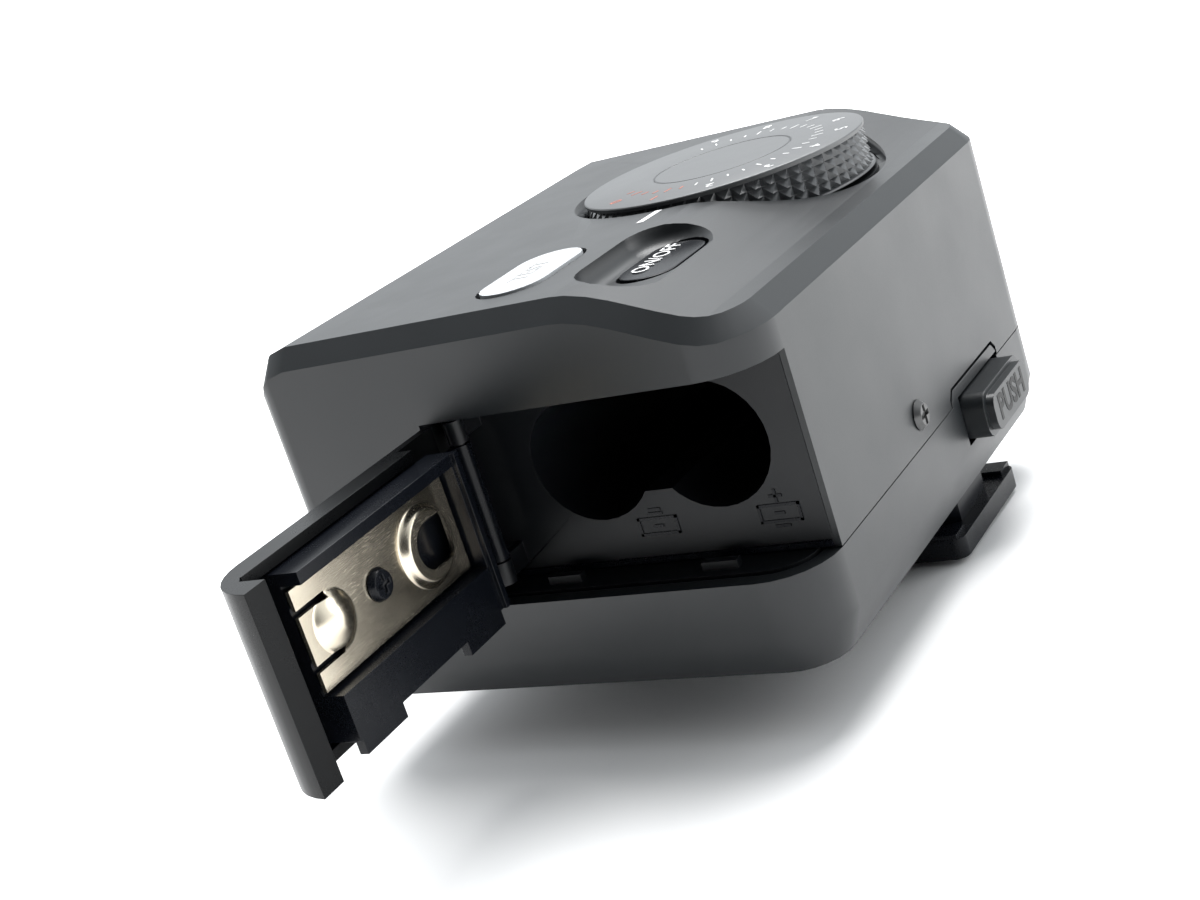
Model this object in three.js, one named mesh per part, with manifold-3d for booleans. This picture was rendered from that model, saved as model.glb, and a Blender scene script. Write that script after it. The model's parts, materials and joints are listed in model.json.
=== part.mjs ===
// Compact hot-shoe flash unit with its battery door open.
// Millimetres. +X is the battery end, +Y the back, +Z up. The origin is the centre of the
// foot's underside. Inside the group "unit", y = 0 is the back face, z = 0 the underside of
// the base tray and x = 0 the middle of the body.

import * as THREE from 'three';
import { mergeVertices } from 'three/addons/utils/BufferGeometryUtils.js';
import Module from 'manifold-3d';

const wasm = await Module();
wasm.setup();

// ---- driving dimensions ----
const HALF_W = 32.4; // half width of the body
const DEPTH = 51.2; // back face to front face
const TOP = 36.2; // flat front part of the top
const WALL = 1.6; // moulded wall
const REAR_R = 6; // plan radius of the rear corners
const FRONT_R = 2.5; // plan radius of the front corners
const SEAM = 9.2; // joint line between base tray and upper shell
const GAP = 0.3; // clearance between neighbours

const BEVEL_IN = 1.6; // bevel along the top edges, inwards
const BEVEL_DROP = 1.9; // and downwards
const SLOPE_START = -17.5; // where the top starts to fall
const SLOPE_END_Z = 32.0; // height of the top at the back
const NOSE_R = 4.5; // rounding of the top front edge

const RECESS_X = 26.4; // outer face of the battery end plate
const RECESS_Y = -33.8; // front side of the door recess
const RECESS_TOP = 27.3; // ceiling of the door recess
const LEDGE = 9.35; // floor of the door recess

const CELL_R = 5.9; // bore for a size AAA cell
const CELL_Z = 19.9;
const CELL_YS = [-9.7, -21.8];
const CELL_END_X = -20.5; // inner end of the bores

const DIAL = { x: -11, y: -19.9, r: 14.7, bottom: 32.4, top: 36.8, teeth: 60 };
const POCKET_R = 15.3;
const POCKET_Z = 31.9;
const SHAFT_R = 2.4;

const HINGE = { x: 30.5, y: -31.6, r: 0.95, pin: 0.55 };
const SLIDE = 3.4; // travel of the door on its hinge bracket
const DOOR_Z = [9.6, 27.0];
const DOOR_FACE = 32.4; // outer face of the closed door

const FOOT = { x: -11, y: -10.6, w: 18.5, l: 18, t: 2.1, top: -3.6, neck: 12.3 };

const ARM = { rearY: -7, frontY: -15, rearZ: 6.6, frontZ: 3.6, reach: 26, r: 1.3, pin: 0.6 };

const SEGMENTS = 24;

// ---- materials ----
const paint = (color, roughness, metalness = 0) =>
  new THREE.MeshStandardMaterial({ color, roughness, metalness });
const shellGrey = () => paint(0x34383a, 0.5);
const blackPlastic = () => paint(0x14161a, 0.45);
const nickel = () => paint(0xcfc4a8, 0.25, 1);
const steel = () => paint(0x9a9c9e, 0.3, 1);

// ---- solids ----
function toSolid(geometry) {
  const plain = geometry.index ? geometry.toNonIndexed() : geometry.clone();
  plain.deleteAttribute('normal');
  plain.deleteAttribute('uv');
  const merged = mergeVertices(plain, 1e-4);
  return new wasm.Manifold(new wasm.Mesh({
    numProp: 3,
    vertProperties: new Float32Array(merged.attributes.position.array),
    triVerts: new Uint32Array(merged.index.array),
  }));
}

function toGeometry(solid) {
  const mesh = solid.getMesh();
  const geometry = new THREE.BufferGeometry();
  geometry.setAttribute('position', new THREE.BufferAttribute(mesh.vertProperties, 3));
  geometry.setIndex(new THREE.BufferAttribute(mesh.triVerts, 1));
  return geometry;
}

const join = (first, ...rest) => rest.reduce((a, b) => a.add(b), first);
const cut = (first, ...rest) => rest.reduce((a, b) => a.subtract(b), first);

function box(x0, x1, y0, y1, z0, z1) {
  const geometry = new THREE.BoxGeometry(x1 - x0, y1 - y0, z1 - z0);
  geometry.translate((x0 + x1) / 2, (y0 + y1) / 2, (z0 + z1) / 2);
  return toSolid(geometry);
}

const UP = new THREE.Vector3(0, 1, 0);
const AXES = { x: new THREE.Vector3(1, 0, 0), y: UP, z: new THREE.Vector3(0, 0, 1) };

// A cylinder from point a, length long along the named axis.
function rod(axis, a, length, r, segments = SEGMENTS, r2 = r) {
  const geometry = new THREE.CylinderGeometry(r2, r, length, segments);
  geometry.translate(0, length / 2, 0);
  geometry.applyQuaternion(new THREE.Quaternion().setFromUnitVectors(UP, AXES[axis]));
  geometry.translate(...a);
  return toSolid(geometry);
}

function extrude(points, length) {
  const shape = new THREE.Shape(points.map(([u, v]) => new THREE.Vector2(u, v)));
  return new THREE.ExtrudeGeometry(shape, { depth: length, bevelEnabled: false });
}

// An outline in XY, raised from z0 to z1.
function plate(points, z0, z1) {
  const geometry = extrude(points, z1 - z0);
  geometry.translate(0, 0, z0);
  return toSolid(geometry);
}

// An outline in YZ, drawn out from x0 to x1.
function profileX(points, x0, x1) {
  const geometry = extrude(points, x1 - x0);
  geometry.applyMatrix4(new THREE.Matrix4().makeBasis(AXES.y, AXES.z, AXES.x));
  geometry.translate(x0, 0, 0);
  return toSolid(geometry);
}

// An outline in XZ, drawn out from y1 back to y0.
function profileY(points, y0, y1) {
  const geometry = extrude(points, y1 - y0);
  const back = new THREE.Vector3(0, -1, 0);
  geometry.applyMatrix4(new THREE.Matrix4().makeBasis(AXES.x, AXES.z, back));
  geometry.translate(0, y1, 0);
  return toSolid(geometry);
}

// Points of an arc, angles in degrees.
function arc(cx, cy, r, from, to, steps) {
  return Array.from({ length: steps + 1 }, (_, i) => {
    const angle = THREE.MathUtils.degToRad(from + ((to - from) * i) / steps);
    return [cx + r * Math.cos(angle), cy + r * Math.sin(angle)];
  });
}

function roundedRect(x0, x1, y0, y1, r, steps = 4) {
  return [
    ...arc(x1 - r, y0 + r, r, -90, 0, steps),
    ...arc(x1 - r, y1 - r, r, 0, 90, steps),
    ...arc(x0 + r, y1 - r, r, 90, 180, steps),
    ...arc(x0 + r, y0 + r, r, 180, 270, steps),
  ];
}

// ---- the body's outer form ----
// Height of the top along the depth: rounded nose, flat, then an S-curve down to the back.
function topHeight(y) {
  const noseY = -DEPTH + NOSE_R;
  if (y < noseY) return TOP - NOSE_R + Math.sqrt(Math.max(0, NOSE_R ** 2 - (noseY - y) ** 2));
  if (y < SLOPE_START) return TOP;
  const t = Math.min(1, (y - SLOPE_START) / -SLOPE_START);
  const fall = 1.25 * (3 * t ** 2 - 2 * t ** 3) - 0.25 * t ** 3;
  return TOP - (TOP - SLOPE_END_Z) * Math.min(1, fall);
}

// Right half of the plan outline, back to front, set in by inset. Sample heights are shared
// by every inset, so that rings of different inset match point by point.
function planHalf(inset) {
  const half = HALF_W - inset;
  const rear = Math.max(REAR_R - inset, 0.5);
  const front = Math.max(FRONT_R - inset, 0.5);
  const back = arc(half - rear, -inset - rear, rear, 90, 0, 6);
  const sides = [-8, -10, -12, -14, -16, SLOPE_START, -DEPTH + NOSE_R].map((y) => [half, y]);
  const nose = arc(half - front, -DEPTH + inset + front, front, 0, -90, 4);
  return [...back, ...sides, ...nose];
}

// A closed form over the plan outline: straight sides from z0, a bevel, and the curved top.
function bodyForm(inset, z0, lower) {
  const rings = [
    planHalf(inset).map(([x, y]) => [x, y, z0]),
    planHalf(inset).map(([x, y]) => [x, y, topHeight(y) - lower - BEVEL_DROP]),
    planHalf(inset + BEVEL_IN).map(([x, y]) => [x, y, topHeight(y) - lower]),
  ];
  const count = rings[0].length;
  const positions = [];
  const corner = (ring, i, side) => [side * rings[ring][i][0], rings[ring][i][1], rings[ring][i][2]];
  const quad = (a, b, c, d) => positions.push(...a, ...b, ...c, ...a, ...c, ...d);
  for (let i = 0; i < count - 1; i += 1) {
    for (let ring = 0; ring < 2; ring += 1) {
      const next = ring + 1;
      quad(corner(ring, i + 1, 1), corner(ring, i, 1), corner(next, i, 1), corner(next, i + 1, 1));
      quad(corner(ring, i, -1), corner(ring, i + 1, -1), corner(next, i + 1, -1), corner(next, i, -1));
    }
    quad(corner(2, i + 1, -1), corner(2, i + 1, 1), corner(2, i, 1), corner(2, i, -1));
    quad(corner(0, i, -1), corner(0, i, 1), corner(0, i + 1, 1), corner(0, i + 1, -1));
  }
  for (let ring = 0; ring < 2; ring += 1) {
    const [next, last] = [ring + 1, count - 1];
    quad(corner(ring, 0, 1), corner(ring, 0, -1), corner(next, 0, -1), corner(next, 0, 1));
    quad(corner(ring, last, -1), corner(ring, last, 1), corner(next, last, 1), corner(next, last, -1));
  }
  const geometry = new THREE.BufferGeometry();
  geometry.setAttribute('position', new THREE.Float32BufferAttribute(positions, 3));
  return toSolid(geometry);
}

// ---- upper shell ----
const WINDOW = { x: 25, z0: 14.2, z1: 30.8 };
const SENSOR = { x0: 14, x1: 20, z0: 10.4, z1: 12.4 };
const TAB = { x0: -19, x1: -4.4, top: 10.7 };
const KNOB_SLOT = { y0: -47.4, y1: -45.2, z0: 13.5, z1: 30.5 };
const TEST = { x0: 14.3, x1: 27.0, y0: -28.4, y1: -21.8, r: 3.2 };
const POWER = { x0: 11.8, x1: 22.8, y0: -16.4, y1: -11.0, r: 2.6 };
const SCOOP = { x0: 10.6, x1: 27.8, y0: -18.4, y1: -9.0, r: 4.4, floor: 34.2, round: 1.7 };
const END_WALL = 0.6; // the back wall is thinned where the battery end plate laps it

// Outline of a small top button: a bar with rounded ends.
function barOutline(b, grow) {
  return roundedRect(b.x0 - grow, b.x1 + grow, b.y0 - grow, b.y1 + grow, b.r + grow, 6);
}

// Outline of the raised tab of the base round the release button, seen from behind.
function tabOutline(grow) {
  const [x0, x1, top, slant] = [TAB.x0 - grow, TAB.x1 + grow, TAB.top + grow, 0.9];
  return [
    [x0, SEAM - 1], [x1, SEAM - 1], [x1, top - slant],
    [x1 - slant, top], [x0 + slant, top], [x0, top - slant],
  ];
}

// The hollow round the power button: a rounded bar with a rounded lower edge.
function scoopForm() {
  const shape = new THREE.Shape(barOutline(SCOOP, 0).map(([x, y]) => new THREE.Vector2(x, y)));
  const round = SCOOP.round;
  const geometry = new THREE.ExtrudeGeometry(shape, {
    depth: 4,
    bevelThickness: round,
    bevelSize: round,
    bevelOffset: -round,
    bevelSegments: 4,
  });
  geometry.translate(0, 0, SCOOP.floor + round);
  return toSolid(geometry);
}

function makeUpperShell() {
  const outer = bodyForm(0, SEAM + 0.1, 0);
  const inner = bodyForm(WALL, SEAM - 1, WALL);
  const pocketWall = rod('z', [DIAL.x, DIAL.y, POCKET_Z - 1.4], 4, POCKET_R + 1.2, 48);
  const bosses = join(
    box(RECESS_X + GAP, HALF_W - 1, RECESS_Y - 1.4, -2, RECESS_TOP, RECESS_TOP + 1.2),
    box(RECESS_X + GAP, HALF_W - 1, RECESS_Y - 1.4, RECESS_Y, SEAM + 0.1, RECESS_TOP + 1.2),
    pocketWall,
    scoopFloor(),
  ).intersect(bodyForm(0.4, SEAM + 0.1, 0.4));
  let shell = join(cut(outer, inner), bosses);
  shell = cut(
    shell,
    box(RECESS_X, HALF_W + 5, RECESS_Y, 5, SEAM - 1, RECESS_TOP),
    rod('z', [DIAL.x, DIAL.y, POCKET_Z], 10, POCKET_R, 60),
    rod('z', [DIAL.x, DIAL.y, POCKET_Z - 3], 10, SHAFT_R + 0.1),
    box(-WINDOW.x - GAP, WINDOW.x + GAP, -DEPTH - 1, -DEPTH + WALL + 1, WINDOW.z0 - GAP, WINDOW.z1 + GAP),
    box(SENSOR.x0, SENSOR.x1, -DEPTH - 1, -DEPTH + WALL + 1, SENSOR.z0, SENSOR.z1),
    profileY(tabOutline(GAP), -WALL - 1, 1),
    box(RECESS_X - 1.5 - GAP, RECESS_X + 1, -WALL - 1, -END_WALL, SEAM - 1, RECESS_TOP),
    box(-HALF_W - 1, -HALF_W + WALL + 1, KNOB_SLOT.y0, KNOB_SLOT.y1, KNOB_SLOT.z0, KNOB_SLOT.z1),
    plate(barOutline(TEST, 0.4), TOP - 4, TOP + 2),
    plate(barOutline(POWER, 0.35), 28, 38),
    scoopForm(),
    rod('y', [SCREW.x, -WALL - 1, SCREW.z], WALL + 2, SCREW.shank + 0.15, 16),
  );
  return shell;
}

// Skin under the power button's scoop, which is deeper than the wall.
function scoopFloor() {
  return box(SCOOP.x0 - 1, SCOOP.x1 + 1, SCOOP.y0 - 1, SCOOP.y1 + 1, SCOOP.floor - 2.6, SCOOP.floor + 0.6);
}

const SCREW = { x: 4, z: 12, shank: 0.8, head: 1.5 };

function makeBackScrew() {
  const head = rod('y', [SCREW.x, 0.1, SCREW.z], 0.55, SCREW.head, 20, SCREW.head * 0.7);
  const shank = rod('y', [SCREW.x, -5, SCREW.z], 5.2, SCREW.shank, 16);
  const across = 0.25;
  const slot = 0.95;
  return cut(
    join(head, shank),
    box(SCREW.x - slot, SCREW.x + slot, 0.35, 1, SCREW.z - across, SCREW.z + across),
    box(SCREW.x - across, SCREW.x + across, 0.35, 1, SCREW.z - slot, SCREW.z + slot),
  );
}

// ---- base tray ----
const TRAY_FLOOR = 1.5;
const PUSH = { x0: -18.8, x1: -6.4, z0: 4.6, z1: 9.4, out: 3.0, travel: 1.0 };
const PAD = { x0: 21, x1: 29.6, y0: -22.9, y1: -8.7, out: 0.55 };

// Rounded plan outline of the tray, set in by inset.
function trayOutline(inset) {
  const half = planHalf(inset).filter(([, y]) => y > -7.5 || y < -DEPTH + 4);
  const right = half.slice().reverse();
  const left = half.map(([x, y]) => [-x, y]);
  return [...right, ...left];
}

// The tray's lower edge is a tall, narrow bevel all round.
function trayForm() {
  const bevelIn = 1.4;
  const bevelUp = 3.6;
  const low = trayOutline(bevelIn);
  const high = trayOutline(0);
  const positions = [];
  const at = (ring, i, z) => [ring[i % ring.length][0], ring[i % ring.length][1], z];
  const quad = (a, b, c, d) => positions.push(...a, ...b, ...c, ...a, ...c, ...d);
  for (let i = 0; i < low.length; i += 1) {
    quad(at(low, i, 0), at(low, i + 1, 0), at(high, i + 1, bevelUp), at(high, i, bevelUp));
  }
  const fan = (ring, z, up) => {
    const faces = THREE.ShapeUtils.triangulateShape(ring.map(([x, y]) => new THREE.Vector2(x, y)), []);
    faces.forEach(([a, b, c]) => {
      const order = up ? [a, b, c] : [a, c, b];
      order.forEach((i) => positions.push(...at(ring, i, z)));
    });
  };
  fan(low, 0, false);
  fan(high, bevelUp, true);
  const geometry = new THREE.BufferGeometry();
  geometry.setAttribute('position', new THREE.Float32BufferAttribute(positions, 3));
  return join(toSolid(geometry), plate(high, bevelUp - 0.001, SEAM));
}

function makeBaseTray() {
  const hollow = plate(trayOutline(WALL + 0.1), TRAY_FLOOR, SEAM + 1)
    .subtract(box(-HALF_W, HALF_W, -DEPTH, -DEPTH + 3.2, 0, 2.4));
  const tab = profileY(tabOutline(0), -WALL, 0);
  const pads = box(PAD.x0 - 0.15, PAD.x1 + 0.15, PAD.y0 - 0.15, PAD.y1 + 0.15, -1, 0.35);
  const pinHoles = [ARM.rearY, ARM.frontY].map((y, i) => [y, [ARM.rearZ, ARM.frontZ][i]]);
  const lugs = pinHoles.flatMap(([y, z]) => [-1, 1].map((side) =>
    box(side * 24.5 - 1, side * 24.5 + 1, y - 1.7, y + 1.7, TRAY_FLOOR - 0.2, z + 1.5)));
  const bores = pinHoles.map(([y, z]) => rod('x', [-27, y, z], 54, ARM.pin + 0.05, 16));
  const neckHole = box(FOOT.x - FOOT.neck / 2 - 0.15, FOOT.x + FOOT.neck / 2 + 0.15,
    FOOT.y - 7.65, FOOT.y + 7.65, -1, TRAY_FLOOR + 1);
  const pushHole = box(PUSH.x0 - 0.2, PUSH.x1 + 0.2, -WALL - 1.2, 1, PUSH.z0 - 0.2, PUSH.z1 + 0.2);
  return cut(join(trayForm().subtract(hollow), tab, ...lugs), pads, neckHole, pushHole, ...bores);
}

// ---- foot ----
function makeShoeFoot() {
  const { x, y, w, l, t, top } = FOOT;
  const foot = plate(roundedRect(x - w / 2, x + w / 2, y - l / 2, y + l / 2, 1.2), top - t, top);
  const blocks = [-1, 1].map((side) => {
    const middle = x + side * (w / 2 - 1.4);
    return box(middle - 1.3, middle + 1.3, y + l / 2 - 4.4, y + l / 2 - 0.6, top - 0.1, top + 0.5);
  });
  const neckOutline = [
    [x - FOOT.neck / 2, y - 7.5], [x + FOOT.neck / 2, y - 7.5], [x + FOOT.neck / 2, y + 3.6],
    [x + 4.6, y + 7.5], [x - 3.4, y + 7.5], [x - FOOT.neck / 2, y + 3.6],
  ];
  const neck = plate(neckOutline, top - 0.1, TRAY_FLOOR + 0.4);
  const flange = box(x - 8.4, x + 8.4, y - 8.6, y + 7.4, TRAY_FLOOR + 0.3, TRAY_FLOOR + 1.3);
  const holes = shoePinPlaces().map(([px, py, r]) => rod('z', [px, py, top - t - 1], 6, r + 0.1, 16));
  const screwHoles = footScrewPlaces().map(([px, py]) => rod('z', [px, py, -2], 8, 0.85, 12));
  return cut(join(foot, ...blocks, neck, flange), ...holes, ...screwHoles);
}

function shoePinPlaces() {
  const { x, y } = FOOT;
  return [[x, y, 1.3], [x - 4, y - 4.6, 0.8], [x + 4, y - 4.6, 0.8], [x - 4, y + 2.6, 0.8]];
}

function footScrewPlaces() {
  return [[FOOT.x - 4.2, FOOT.y - 0.9], [FOOT.x + 4.2, FOOT.y - 0.9]];
}

function makeShoePin([x, y, r]) {
  const base = FOOT.top - FOOT.t;
  return join(
    rod('z', [x, y, base - 0.4], 4, r, 16),
    rod('z', [x, y, base - 0.6], 0.25, r * 0.6, 16, r),
  );
}

function makeFootScrew([x, y]) {
  const seat = TRAY_FLOOR + 1.3;
  return join(rod('z', [x, y, seat + 0.05], 0.9, 1.5, 16), rod('z', [x, y, -1.9], seat + 2.2, 0.8, 12));
}

// ---- release button and latch ----
function makePushButton() {
  const { x0, x1, z0, z1, out } = PUSH;
  const cap = profileY(roundedRect(x0, x1, z0, z1, 1.5, 4), -2.6, out - 0.8);
  const crown = profileY(roundedRect(x0 + 0.7, x1 - 0.7, z0 + 0.5, z1 - 0.5, 1.2, 4), out - 0.9, out);
  const flange = box(x0 - 0.8, x1 + 0.8, -3.6, -2.5, z0 - 0.7, z1 - 1.5);
  return join(cap, crown, flange);
}

function makeReleaseLatch() {
  const stemY = BOTTOM_PLATE.y1 - 1.4 - GAP;
  const [x0, x1] = [-16.6, -8.6];
  const bar = box(x0, x1, stemY - 0.7, -3.6, 7.5, 8.0);
  const stem = box(x0, x1, stemY - 0.7, stemY, 7.5, 9.7);
  const lead = box(x0, x1, stemY - 0.1, stemY + 0.1, 9.1, 9.7);
  return join(bar, stem, lead);
}

// ---- lift arms: two plates on pins, folded flat in the tray ----
function makeLiftArm(baseY, z, spread) {
  const [r, reach] = [ARM.r, ARM.reach];
  const side = (x0) => {
    const outline = [...arc(baseY, z, r, -90, 90, 6), ...arc(baseY - reach, z, r, 90, 270, 6)];
    return profileX(outline, x0, x0 + 1);
  };
  const crossY = baseY - reach / 2;
  const web = box(-spread, spread, crossY - 1.6, crossY + 1.6, z - 1.0, z - 0.1);
  const arm = join(side(-spread), side(spread - 1), web);
  const bores = [baseY, baseY - reach]
    .map((y) => rod('x', [-spread - 1, y, z], 2 * spread + 2, ARM.pin + 0.05, 16));
  return cut(arm, ...bores);
}

const makePin = (y, z, half) => rod('x', [-half, y, z], 2 * half, ARM.pin, 16);

// ---- bottom plate of the body, which the lift arms carry ----
const BOTTOM_PLATE = { z0: 8.2, z1: 9.0, y0: -48.6, y1: -3.9, x: 29.2 };

function makeBottomPlate() {
  const b = BOTTOM_PLATE;
  const sheet = box(-b.x, b.x, b.y0, b.y1, b.z0, b.z1);
  const places = [[ARM.rearY, ARM.rearZ], [ARM.frontY, ARM.frontZ]].map(([y, z]) => [y - ARM.reach, z]);
  const lugs = places.flatMap(([y, z]) => [-1, 1].map((side) =>
    box(side * 24.5 - 0.9, side * 24.5 + 0.9, y - 1.6, y + 1.6, z - 1.5, b.z0 + 0.1)));
  const bores = places.map(([y, z]) => rod('x', [-27, y, z], 54, ARM.pin + 0.05, 16));
  const openings = [
    box(-20, -5, -13.2, b.y1 - 1.4, b.z0 - 1, b.z1 + 1),
    box(RECESS_X - 1.9, b.x + 1, RECESS_Y - 0.5, -1, b.z0 - 1, b.z1 + 1),
  ];
  const screwHoles = plateScrewPlaces().map(([x, y]) => rod('z', [x, y, b.z0 - 1], 3, 0.85, 12));
  return cut(join(sheet, ...lugs), ...bores, ...openings, ...screwHoles);
}

const plateScrewPlaces = () => [[-27.5, -46.5], [27.5, -46.5], [-27.5, -5.5], [19, -5.5]];

function makePlateScrew([x, y]) {
  const b = BOTTOM_PLATE;
  return join(rod('z', [x, y, b.z0 - 0.95], 0.9, 1.5, 16), rod('z', [x, y, b.z0 - 0.2], 4.6, 0.75, 12));
}

// ---- battery box ----
const HOOKS = { ys: [-28.2, -12.2], length: 3.5, x0: 28.2, x1: 29.2, height: 0.8 };

function makeBatteryBox() {
  const bores = CELL_YS.map((y) => rod('x', [CELL_END_X, y, CELL_Z], RECESS_X - CELL_END_X + 1, CELL_R, 32));
  const [rear, front] = CELL_YS;
  const between = box(CELL_END_X, RECESS_X + 1, front, rear, CELL_Z - 3.6, CELL_Z + CELL_R - 0.1);
  const hull = box(CELL_END_X - 1.2, RECESS_X - 0.5, front - CELL_R - 1.1, rear + CELL_R + 1.1,
    CELL_Z - CELL_R - 1.1, CELL_Z + CELL_R + 1.1);
  const endPlate = box(RECESS_X - 1.5, RECESS_X, RECESS_Y, -END_WALL - 0.05, LEDGE - 0.1, RECESS_TOP - GAP);
  const ledge = box(RECESS_X - 1.5, HALF_W, RECESS_Y + GAP, 0, LEDGE - 1.0, LEDGE)
    .intersect(plate(trayOutline(WALL + 0.5), LEDGE - 2, LEDGE + 1));
  const hooks = HOOKS.ys
    .map((y) => box(HOOKS.x0, HOOKS.x1, y, y + HOOKS.length, LEDGE - 0.2, LEDGE + HOOKS.height));
  const nub = box(RECESS_X - 0.1, RECESS_X + 1.2, -19.6, -14.0, RECESS_TOP - 1.5, RECESS_TOP - GAP);
  const slots = CELL_YS
    .map((y) => box(CELL_END_X - 2, CELL_END_X + 1, y - 3.2, y + 3.2, CELL_Z - 2, CELL_Z + 2));
  return cut(join(hull, endPlate, ledge, ...hooks, nub), ...bores, between, ...slots);
}

// A sheet contact that faces the button end of a cell, with its tail out to the board.
function makePlateContact() {
  const y = CELL_YS[0];
  return join(
    box(CELL_END_X + 0.15, CELL_END_X + 0.55, y - 2.8, y + 2.8, CELL_Z - 1.7, CELL_Z + 1.7),
    box(CELL_END_X - 2.6, CELL_END_X + 0.5, y - 1, y + 1, CELL_Z - 0.2, CELL_Z + 0.2),
  );
}

// A conical coil contact that presses on the flat end of a cell.
function makeCoilContact() {
  const y = CELL_YS[1];
  const turns = 3;
  const points = [];
  for (let i = 0; i <= turns * 12; i += 1) {
    const t = i / (turns * 12);
    const r = 3.0 - 1.2 * t;
    const angle = t * turns * 2 * Math.PI;
    const [dy, dz] = [r * Math.cos(angle), r * Math.sin(angle)];
    points.push(new THREE.Vector3(CELL_END_X + 1.3 + 4 * t, y + dy, CELL_Z + dz));
  }
  const wire = new THREE.Shape(arc(0, 0, 0.3, 0, 315, 7).map(([u, v]) => new THREE.Vector2(u, v)));
  const path = new THREE.CatmullRomCurve3(points);
  const sweep = { steps: turns * 14, extrudePath: path, bevelEnabled: false };
  const coil = toSolid(new THREE.ExtrudeGeometry(wire, sweep));
  const plateBack = box(CELL_END_X + 0.3, CELL_END_X + 0.7, y - 2.9, y + 3.2, CELL_Z - 1.8, CELL_Z + 1.8);
  const post = box(CELL_END_X + 0.6, CELL_END_X + 1.7, y + 2.7, y + 3.3, CELL_Z - 0.4, CELL_Z + 0.4);
  return join(plateBack, post, coil);
}

// ---- flash head ----
function makeWindow() {
  const { x, z0, z1 } = WINDOW;
  const pane = box(-x, x, -DEPTH - 0.5, -DEPTH + 1.0, z0, z1);
  const rim = box(-x - 0.9, x + 0.9, -DEPTH + WALL + 0.1, -DEPTH + WALL + 0.8, z0 - 0.9, z1 + 0.9);
  const web = box(-x, x, -DEPTH + 0.9, -DEPTH + WALL + 0.2, z0, z1);
  const grooves = Array.from({ length: 8 }, (_, i) => {
    const z = z0 + 1.6 + i * 2;
    return box(-x + 1, x - 1, -DEPTH - 0.6, -DEPTH - 0.25, z, z + 0.5);
  });
  return cut(join(pane, web, rim), ...grooves);
}

const PANEL = { y0: -48.3, y1: -47.5, z0: 14.2, z1: 20.4, travel: 10.0 };

// Reflector: a trough open to the front, with holes at its ends for the tube.
const TUBE = { y: -42.6, z: 22.6, r: 1.6 };

function makeReflector() {
  const outer = profileX([[-46.9, 13.2], [-40.4, 18.6], [-40.4, 26.6], [-46.9, 32.0]], -25, 25);
  const inner = profileX([[-47.6, 13.4], [-41.2, 19.2], [-41.2, 26.0], [-47.6, 31.8]], -24.2, 24.2);
  return cut(outer, inner, rod('x', [-27, TUBE.y, TUBE.z], 54, TUBE.r + 0.2, 16));
}

const makeFlashTube = () => join(
  rod('x', [-26.5, TUBE.y, TUBE.z], 53, TUBE.r, 20),
  rod('x', [-28.4, TUBE.y, TUBE.z], 57, 0.4, 8),
);

// Wide panel: slides up in front of the reflector by a knob in the far end.
function makeWidePanel() {
  const { y0, y1, z0, z1 } = PANEL;
  const zk = (z0 + z1) / 2;
  return join(
    box(-26, 26, y0, y1, z0, z1),
    box(-HALF_W - 0.6, -25.9, KNOB_SLOT.y0 + 0.25, KNOB_SLOT.y1 - 0.25, zk - 1.6, zk + 1.6),
    box(-27.4, -25.9, y0, KNOB_SLOT.y1 - 0.3, zk - 1.6, zk + 1.6),
  );
}

// ---- inner parts ----
const CAP = { x0: -24, x1: 13, y: -34.6, z: 15.6, r: 5.0 };

function makeMainCapacitor() {
  const lead = (y) => rod('x', [CAP.x1 - 0.1, y, CAP.z], 2.6, 0.35, 8);
  return join(rod('x', [CAP.x0, CAP.y, CAP.z], CAP.x1 - CAP.x0, CAP.r, 32), lead(CAP.y - 2), lead(CAP.y + 2));
}

const BOARD = { z0: 27.3, z1: 28.3 };

function makeMainBoard() {
  const sheet = box(-27, 25, -38.6, -4.4, BOARD.z0, BOARD.z1);
  return cut(sheet, box(24, 26, -39, -30, 26, 30));
}

const makeTransformer = () => join(
  box(15.6, 23.6, -39.2, -31.4, 21.2, 26.2),
  box(16.8, 22.4, -38, -32.6, 26.1, 26.9),
);

function makeDialEncoder() {
  const body = box(DIAL.x - 6, DIAL.x + 6, DIAL.y - 6, DIAL.y + 6, BOARD.z1 + 0.1, POCKET_Z - 1.6);
  return cut(body, rod('z', [DIAL.x, DIAL.y, BOARD.z1 + 0.5], 5, SHAFT_R + 0.1));
}

// Dial: a ring of teeth under a plain disc with a shallow engraved circle.
function makeDial() {
  const tooth = (i, r) => {
    const angle = (i * Math.PI) / DIAL.teeth;
    return [DIAL.x + r * Math.cos(angle), DIAL.y + r * Math.sin(angle)];
  };
  const outline = Array.from({ length: DIAL.teeth * 2 }, (_, i) => tooth(i, i % 2 ? DIAL.r - 0.75 : DIAL.r));
  const knurl = plate(outline, DIAL.bottom, DIAL.top - 1.0);
  const disc = rod('z', [DIAL.x, DIAL.y, DIAL.top - 1.1], 0.8, DIAL.r, 60);
  const chamfer = rod('z', [DIAL.x, DIAL.y, DIAL.top - 0.31], 0.31, DIAL.r, 60, DIAL.r - 0.4);
  const bore = rod('z', [DIAL.x, DIAL.y, DIAL.bottom - 1], 3.4, SHAFT_R + 0.3);
  const hollow = cut(rod('z', [DIAL.x, DIAL.y, DIAL.bottom - 1], 3.2, 12, 36),
    rod('z', [DIAL.x, DIAL.y, DIAL.bottom - 2], 6, SHAFT_R + 1.6));
  return cut(join(knurl, disc, chamfer), bore, hollow);
}

function makeDialShaft() {
  const foot = BOARD.z1 + 0.8;
  return rod('z', [DIAL.x, DIAL.y, foot], DIAL.bottom + 2.0 - foot, SHAFT_R);
}

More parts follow.
